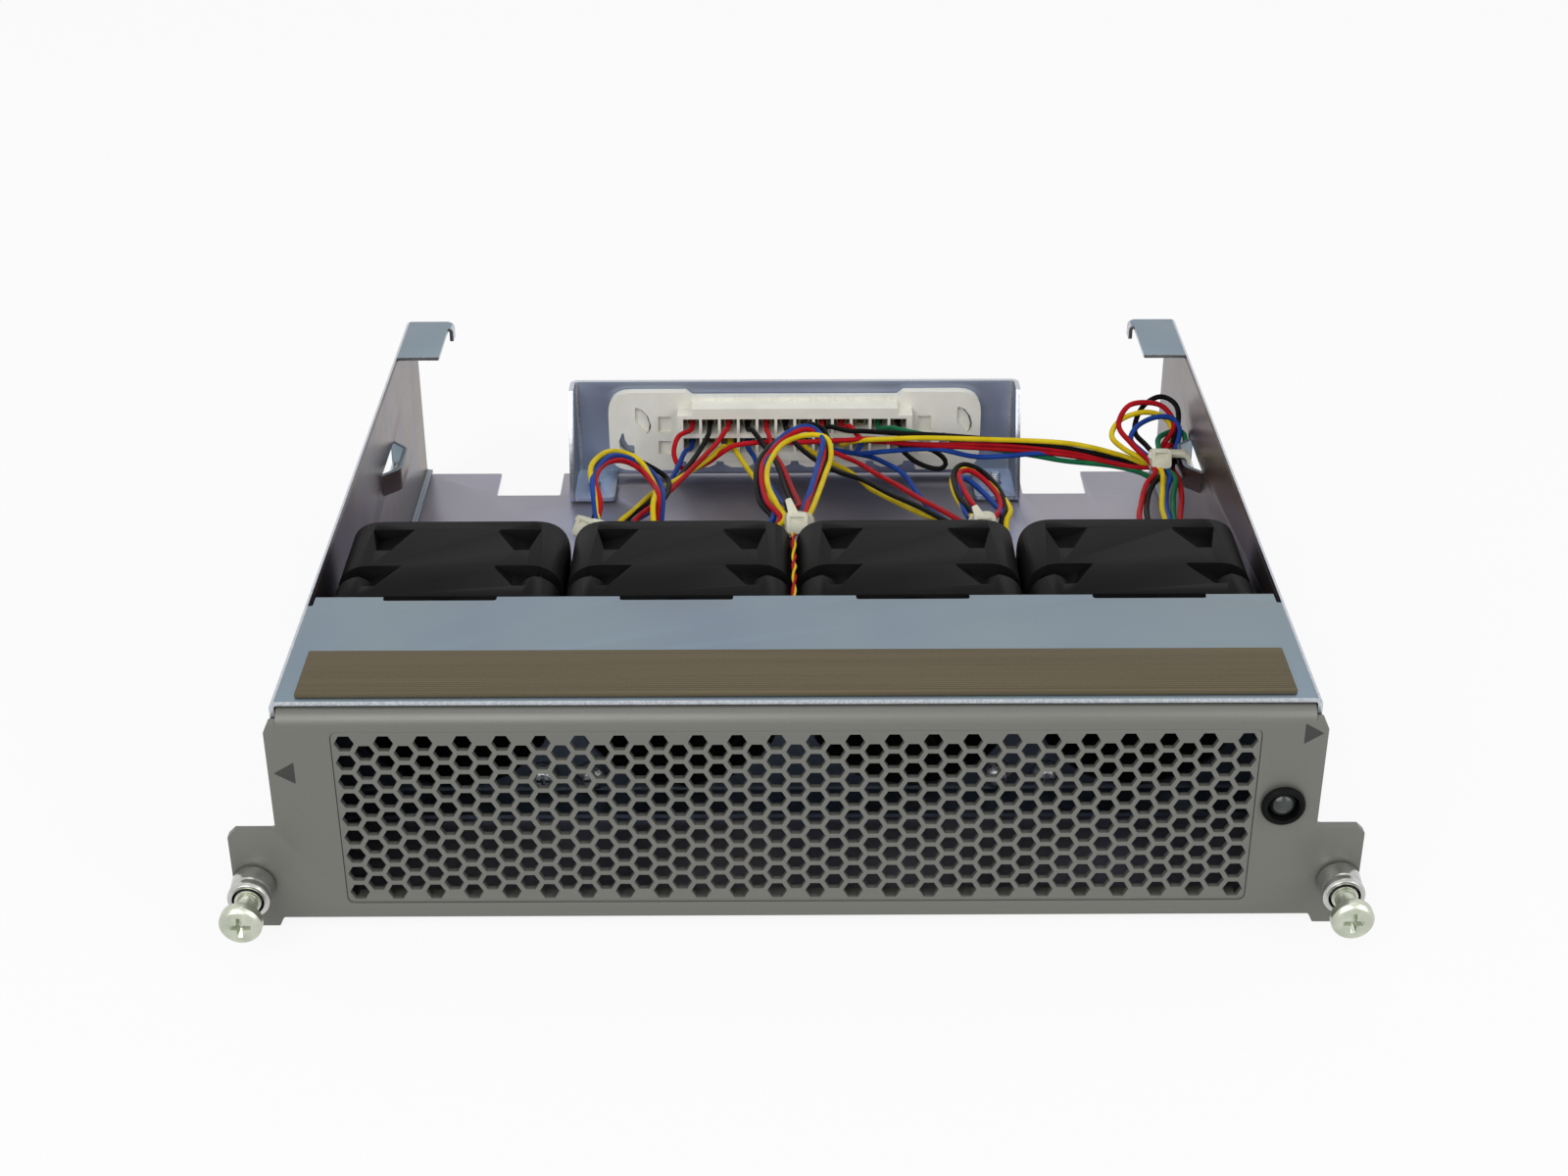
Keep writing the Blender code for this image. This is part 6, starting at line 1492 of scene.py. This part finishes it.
# Each tie in millimetres: its loop's centre, the bundle's direction there, where its lock head sits off the
# centre, where the head faces, and how far the cut tail is turned and stands out of the head
TIES = [
    ((-37.0, 78.9, 30.8), (1.8, 3.9, 1.4), (-2.3, 0.3, 0.9), (-0.5, -0.6, 0.6), 60, 3.0),
    ((1.1, 76.4, 34.0), (-0.7, -3.9, -2.4), (-0.4, -3.0, 1.6), TO_VIEWER, 20, 5.0),
    ((36.1, 80.1, 31.5), (0.8, -4.1, -1.1), (0, -3.0, 1.7), TO_VIEWER, 28, 4.2),
]


def tie_head(centre, facing, tail_turn, tail_reach):
    """The lock head of a tie, a rounded block with its window, and the cut tail of the strap."""
    half, height = 2.3 * MM, 2.7 * MM
    corners = [(-half, -half), (half, -half), (half, half), (-half, half)]
    head = plate("head", rounded(corners, 1.1 * MM, 6), "Z", -height / 2, height / 2, 0.86,
                 (0, 0, height / 2))
    window = block("window", (-1.3 * MM, 0.3 * MM, height / 2 - 0.5 * MM), (1.3 * MM, 1.2 * MM, height))
    combine(head, [window])
    root, end = 1.15 * MM, 0.55 * MM
    outline = [(-root, 0), (root, 0), (end, tail_reach * MM), (-end, tail_reach * MM)]
    tail = plate("tail", rounded(outline, [0, 0, 0.3 * MM, 0.3 * MM], 3), "Z", 0, 0.95 * MM)
    tail.data.transform(Matrix.Rotation(math.radians(tail_turn), 4, "Z"))
    combine(head, [tail], "UNION")
    soften(head, 0.28 * MM, 3, 40)
    turn = Vector(facing).to_track_quat("Z", "Y").to_matrix().to_4x4()
    head.data.transform(Matrix.Translation(centre) @ turn)
    return head


def tie_band(name, centre, along, half_width, half_height, roundness):
    """The loop of a tie's strap round a bundle that runs along the given direction."""
    width, thickness = 2.4 * MM, 0.9 * MM
    radius = min(half_width, half_height) * roundness

    def loop(grow):
        u, v = half_width + grow, half_height + grow
        return rounded([(-u, -v), (u, -v), (u, v), (-u, v)], radius + grow, 8)

    band = plate(name, loop(thickness), "Y", -width / 2, width / 2)
    combine(band, [plate("inside", loop(0), "Y", -width, width)])
    soften(band, 0.16 * MM, 2, 40)
    turn = along.normalized().to_track_quat("Y", "Z").to_matrix().to_4x4()
    band.data.transform(Matrix.Translation(centre) @ turn)
    return outward(band)


class FANTRAY_OT_ties(bpy.types.Operator):
    """Close the cable ties round the leads"""
    bl_idname = "fantray.ties"
    bl_label = "Cable Ties"

    def execute(self, context):
        grip = 1.9 * MM
        for number, (centre, along, seat, facing, tail_turn, reach) in enumerate(TIES, 1):
            band = tie_band(f"nylon_tie_{number}", at(*centre), Vector(along), grip, grip, 0.9)
            head = tie_head(at(*centre) + Vector(seat) * MM, facing, tail_turn, reach)
            self.close(number, band, head)
        # The fourth closes round the wires and the wall's bridge, its head on the side of the tray's middle
        near, far = 75.8 * MM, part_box("cable_tie_4")[1].x - 0.9 * MM
        centre = Vector(((near + far) / 2, FRONT + 119.5 * MM, 24.6 * MM))
        band = tie_band("nylon_tie_4", centre, Vector((0, 1, 0)), (far - near) / 2, 2.7 * MM, 0.3)
        self.close(4, band, tie_head(at(75.4, 115.9, 28.2), TO_VIEWER, 70, 2.8))
        return {"FINISHED"}

    def close(self, number, band, head):
        """Fuses the head to its loop and dresses the tie."""
        combine(band, [head], "UNION")
        dress(outward(band), stock()["tie"], replaces=[f"cable_tie_{number}"], angle=40)


# Stage

class FANTRAY_OT_stage(bpy.types.Operator):
    """Set up the white sweep, the lamps and the camera"""
    bl_idname = "fantray.stage"
    bl_label = "Stage"

    lens: FloatProperty(name="Lens", description="Focal length of the camera", default=53.62, min=20, max=200)

    def execute(self, context):
        scene = context.scene
        scene.view_settings.view_transform = "Standard"
        self.camera(scene)
        self.floor()
        self.world(scene)
        for name, place, size, power, aim in (
            ("key_light", (-0.45, -1.0, 0.75), 0.9, 9.0, (0, 0, 0)),
            ("fill_light", (0.8, -0.7, 0.6), 0.8, 4.5, (0, 0, 0)),
            ("top_light", (0.1, 0.45, 1.3), 1.0, 2.2, (0, 0, 0.02)),
        ):
            deselected()
            bpy.ops.object.light_add(type="AREA", location=place)
            lamp = bpy.context.object
            lamp.name = name
            lamp.data.size = size
            lamp.data.energy = power
            lamp.rotation_euler = (Vector(aim) - Vector(place)).to_track_quat("-Z", "Y").to_euler()
        return {"FINISHED"}

    def camera(self, scene):
        deselected()
        bpy.ops.object.camera_add(location=at(-2.15, -314.9, 235.9))
        camera = bpy.context.object
        camera.name = "photo_camera"
        camera.data.lens = self.lens
        camera.data.sensor_width = 36
        camera.data.clip_start = 0.01
        camera.data.clip_end = 20
        yaw, pitch, roll = math.radians(-0.053), math.radians(28.861), math.radians(0.189)
        turn = (Matrix.Rotation(yaw, 3, "Z") @ Matrix.Rotation(math.pi / 2 - pitch, 3, "X")
                @ Matrix.Rotation(-roll, 3, "Z"))
        camera.rotation_euler = turn.to_euler()
        scene.camera = camera

    def floor(self):
        deselected()
        bpy.ops.mesh.primitive_plane_add(size=6, location=(0, 0, -1.75 * MM))
        floor = named("studio_floor")
        made = bpy.data.materials.new("white_sweep")
        made.use_nodes = True
        tree = made.node_tree
        tree.nodes.clear()
        seen = self.seen_by_eye(tree)
        paper = add_node(tree, "ShaderNodeBsdfDiffuse", values={"Color": (0.86, 0.86, 0.86, 1)})
        glow = add_node(tree, "ShaderNodeEmission", values={"Color": (1, 1, 1, 1), "Strength": 1.0})
        part = add_node(tree, "ShaderNodeMath", {"operation": "MULTIPLY"}, {1: 0.88}, {0: seen})
        mixed = add_node(tree, "ShaderNodeMixShader", links={0: part.outputs["Value"],
                                                            1: paper.outputs["BSDF"],
                                                             2: glow.outputs["Emission"]})
        add_node(tree, "ShaderNodeOutputMaterial", links={"Surface": mixed.outputs["Shader"]})
        floor.data.materials.append(made)

    def seen_by_eye(self, tree):
        """One for rays from the camera, and for what shows in metal and through glass."""
        path = add_node(tree, "ShaderNodeLightPath")
        first = add_node(tree, "ShaderNodeMath", {"operation": "MAXIMUM"},
                         links={0: path.outputs["Is Camera Ray"], 1: path.outputs["Is Glossy Ray"]})
        both = add_node(tree, "ShaderNodeMath", {"operation": "MAXIMUM"},
                        links={0: first.outputs["Value"], 1: path.outputs["Is Transmission Ray"]})
        return both.outputs["Value"]

    def world(self, scene):
        world = bpy.data.worlds.new("studio_air")
        scene.world = world
        world.use_nodes = True
        tree = world.node_tree
        tree.nodes.clear()
        seen = self.seen_by_eye(tree)
        level = add_node(tree, "ShaderNodeMapRange", values={"To Min": 0.45, "To Max": 1.0},
                         links={"Value": seen})
        sky = add_node(tree, "ShaderNodeBackground", values={"Color": (1, 1, 1, 1)},
                       links={"Strength": level.outputs["Result"]})
        add_node(tree, "ShaderNodeOutputWorld", links={"Surface": sky.outputs["Background"]})


OPERATORS = [
    FANTRAY_OT_shell, FANTRAY_OT_floor, FANTRAY_OT_gasket, FANTRAY_OT_bezel, FANTRAY_OT_grille,
    FANTRAY_OT_fans, FANTRAY_OT_captives, FANTRAY_OT_lamp, FANTRAY_OT_bracket, FANTRAY_OT_connector,
    FANTRAY_OT_leads, FANTRAY_OT_ties, FANTRAY_OT_stage,
]


class FANTRAY_PT_sidebar(bpy.types.Panel):
    """Lists the pieces of the fan tray and the settings they use"""
    bl_idname = "FANTRAY_PT_sidebar"
    bl_label = "Fan Tray"
    bl_space_type = "VIEW_3D"
    bl_region_type = "UI"
    bl_category = "Fan Tray"

    def draw(self, context):
        layout = self.layout
        for group in (context.scene.fan_tray_sizes, context.scene.fan_tray_look):
            column = layout.column(align=True)
            for name in group.__annotations__:
                column.prop(group, name)
        column = layout.column(align=True)
        for operator in OPERATORS:
            column.operator(operator.bl_idname)


CLASSES = [FanTrayLook, FanTraySizes, *OPERATORS, FANTRAY_PT_sidebar]


def register():
    for cls in CLASSES:
        bpy.utils.register_class(cls)
    bpy.types.Scene.fan_tray_sizes = PointerProperty(type=FanTraySizes)
    bpy.types.Scene.fan_tray_look = PointerProperty(type=FanTrayLook)


def unregister():
    del bpy.types.Scene.fan_tray_look
    del bpy.types.Scene.fan_tray_sizes
    for cls in reversed(CLASSES):
        bpy.utils.unregister_class(cls)


def main():
    register()
    bpy.ops.fantray.shell()
    bpy.ops.fantray.floor()
    bpy.ops.fantray.gasket()
    bpy.ops.fantray.bezel()
    bpy.ops.fantray.grille()
    bpy.ops.fantray.fans()
    bpy.ops.fantray.captives()
    bpy.ops.fantray.lamp()
    bpy.ops.fantray.bracket()
    bpy.ops.fantray.connector()
    bpy.ops.fantray.leads()
    bpy.ops.fantray.ties()
    bpy.ops.fantray.stage()


if __name__ == "__main__":
    main()
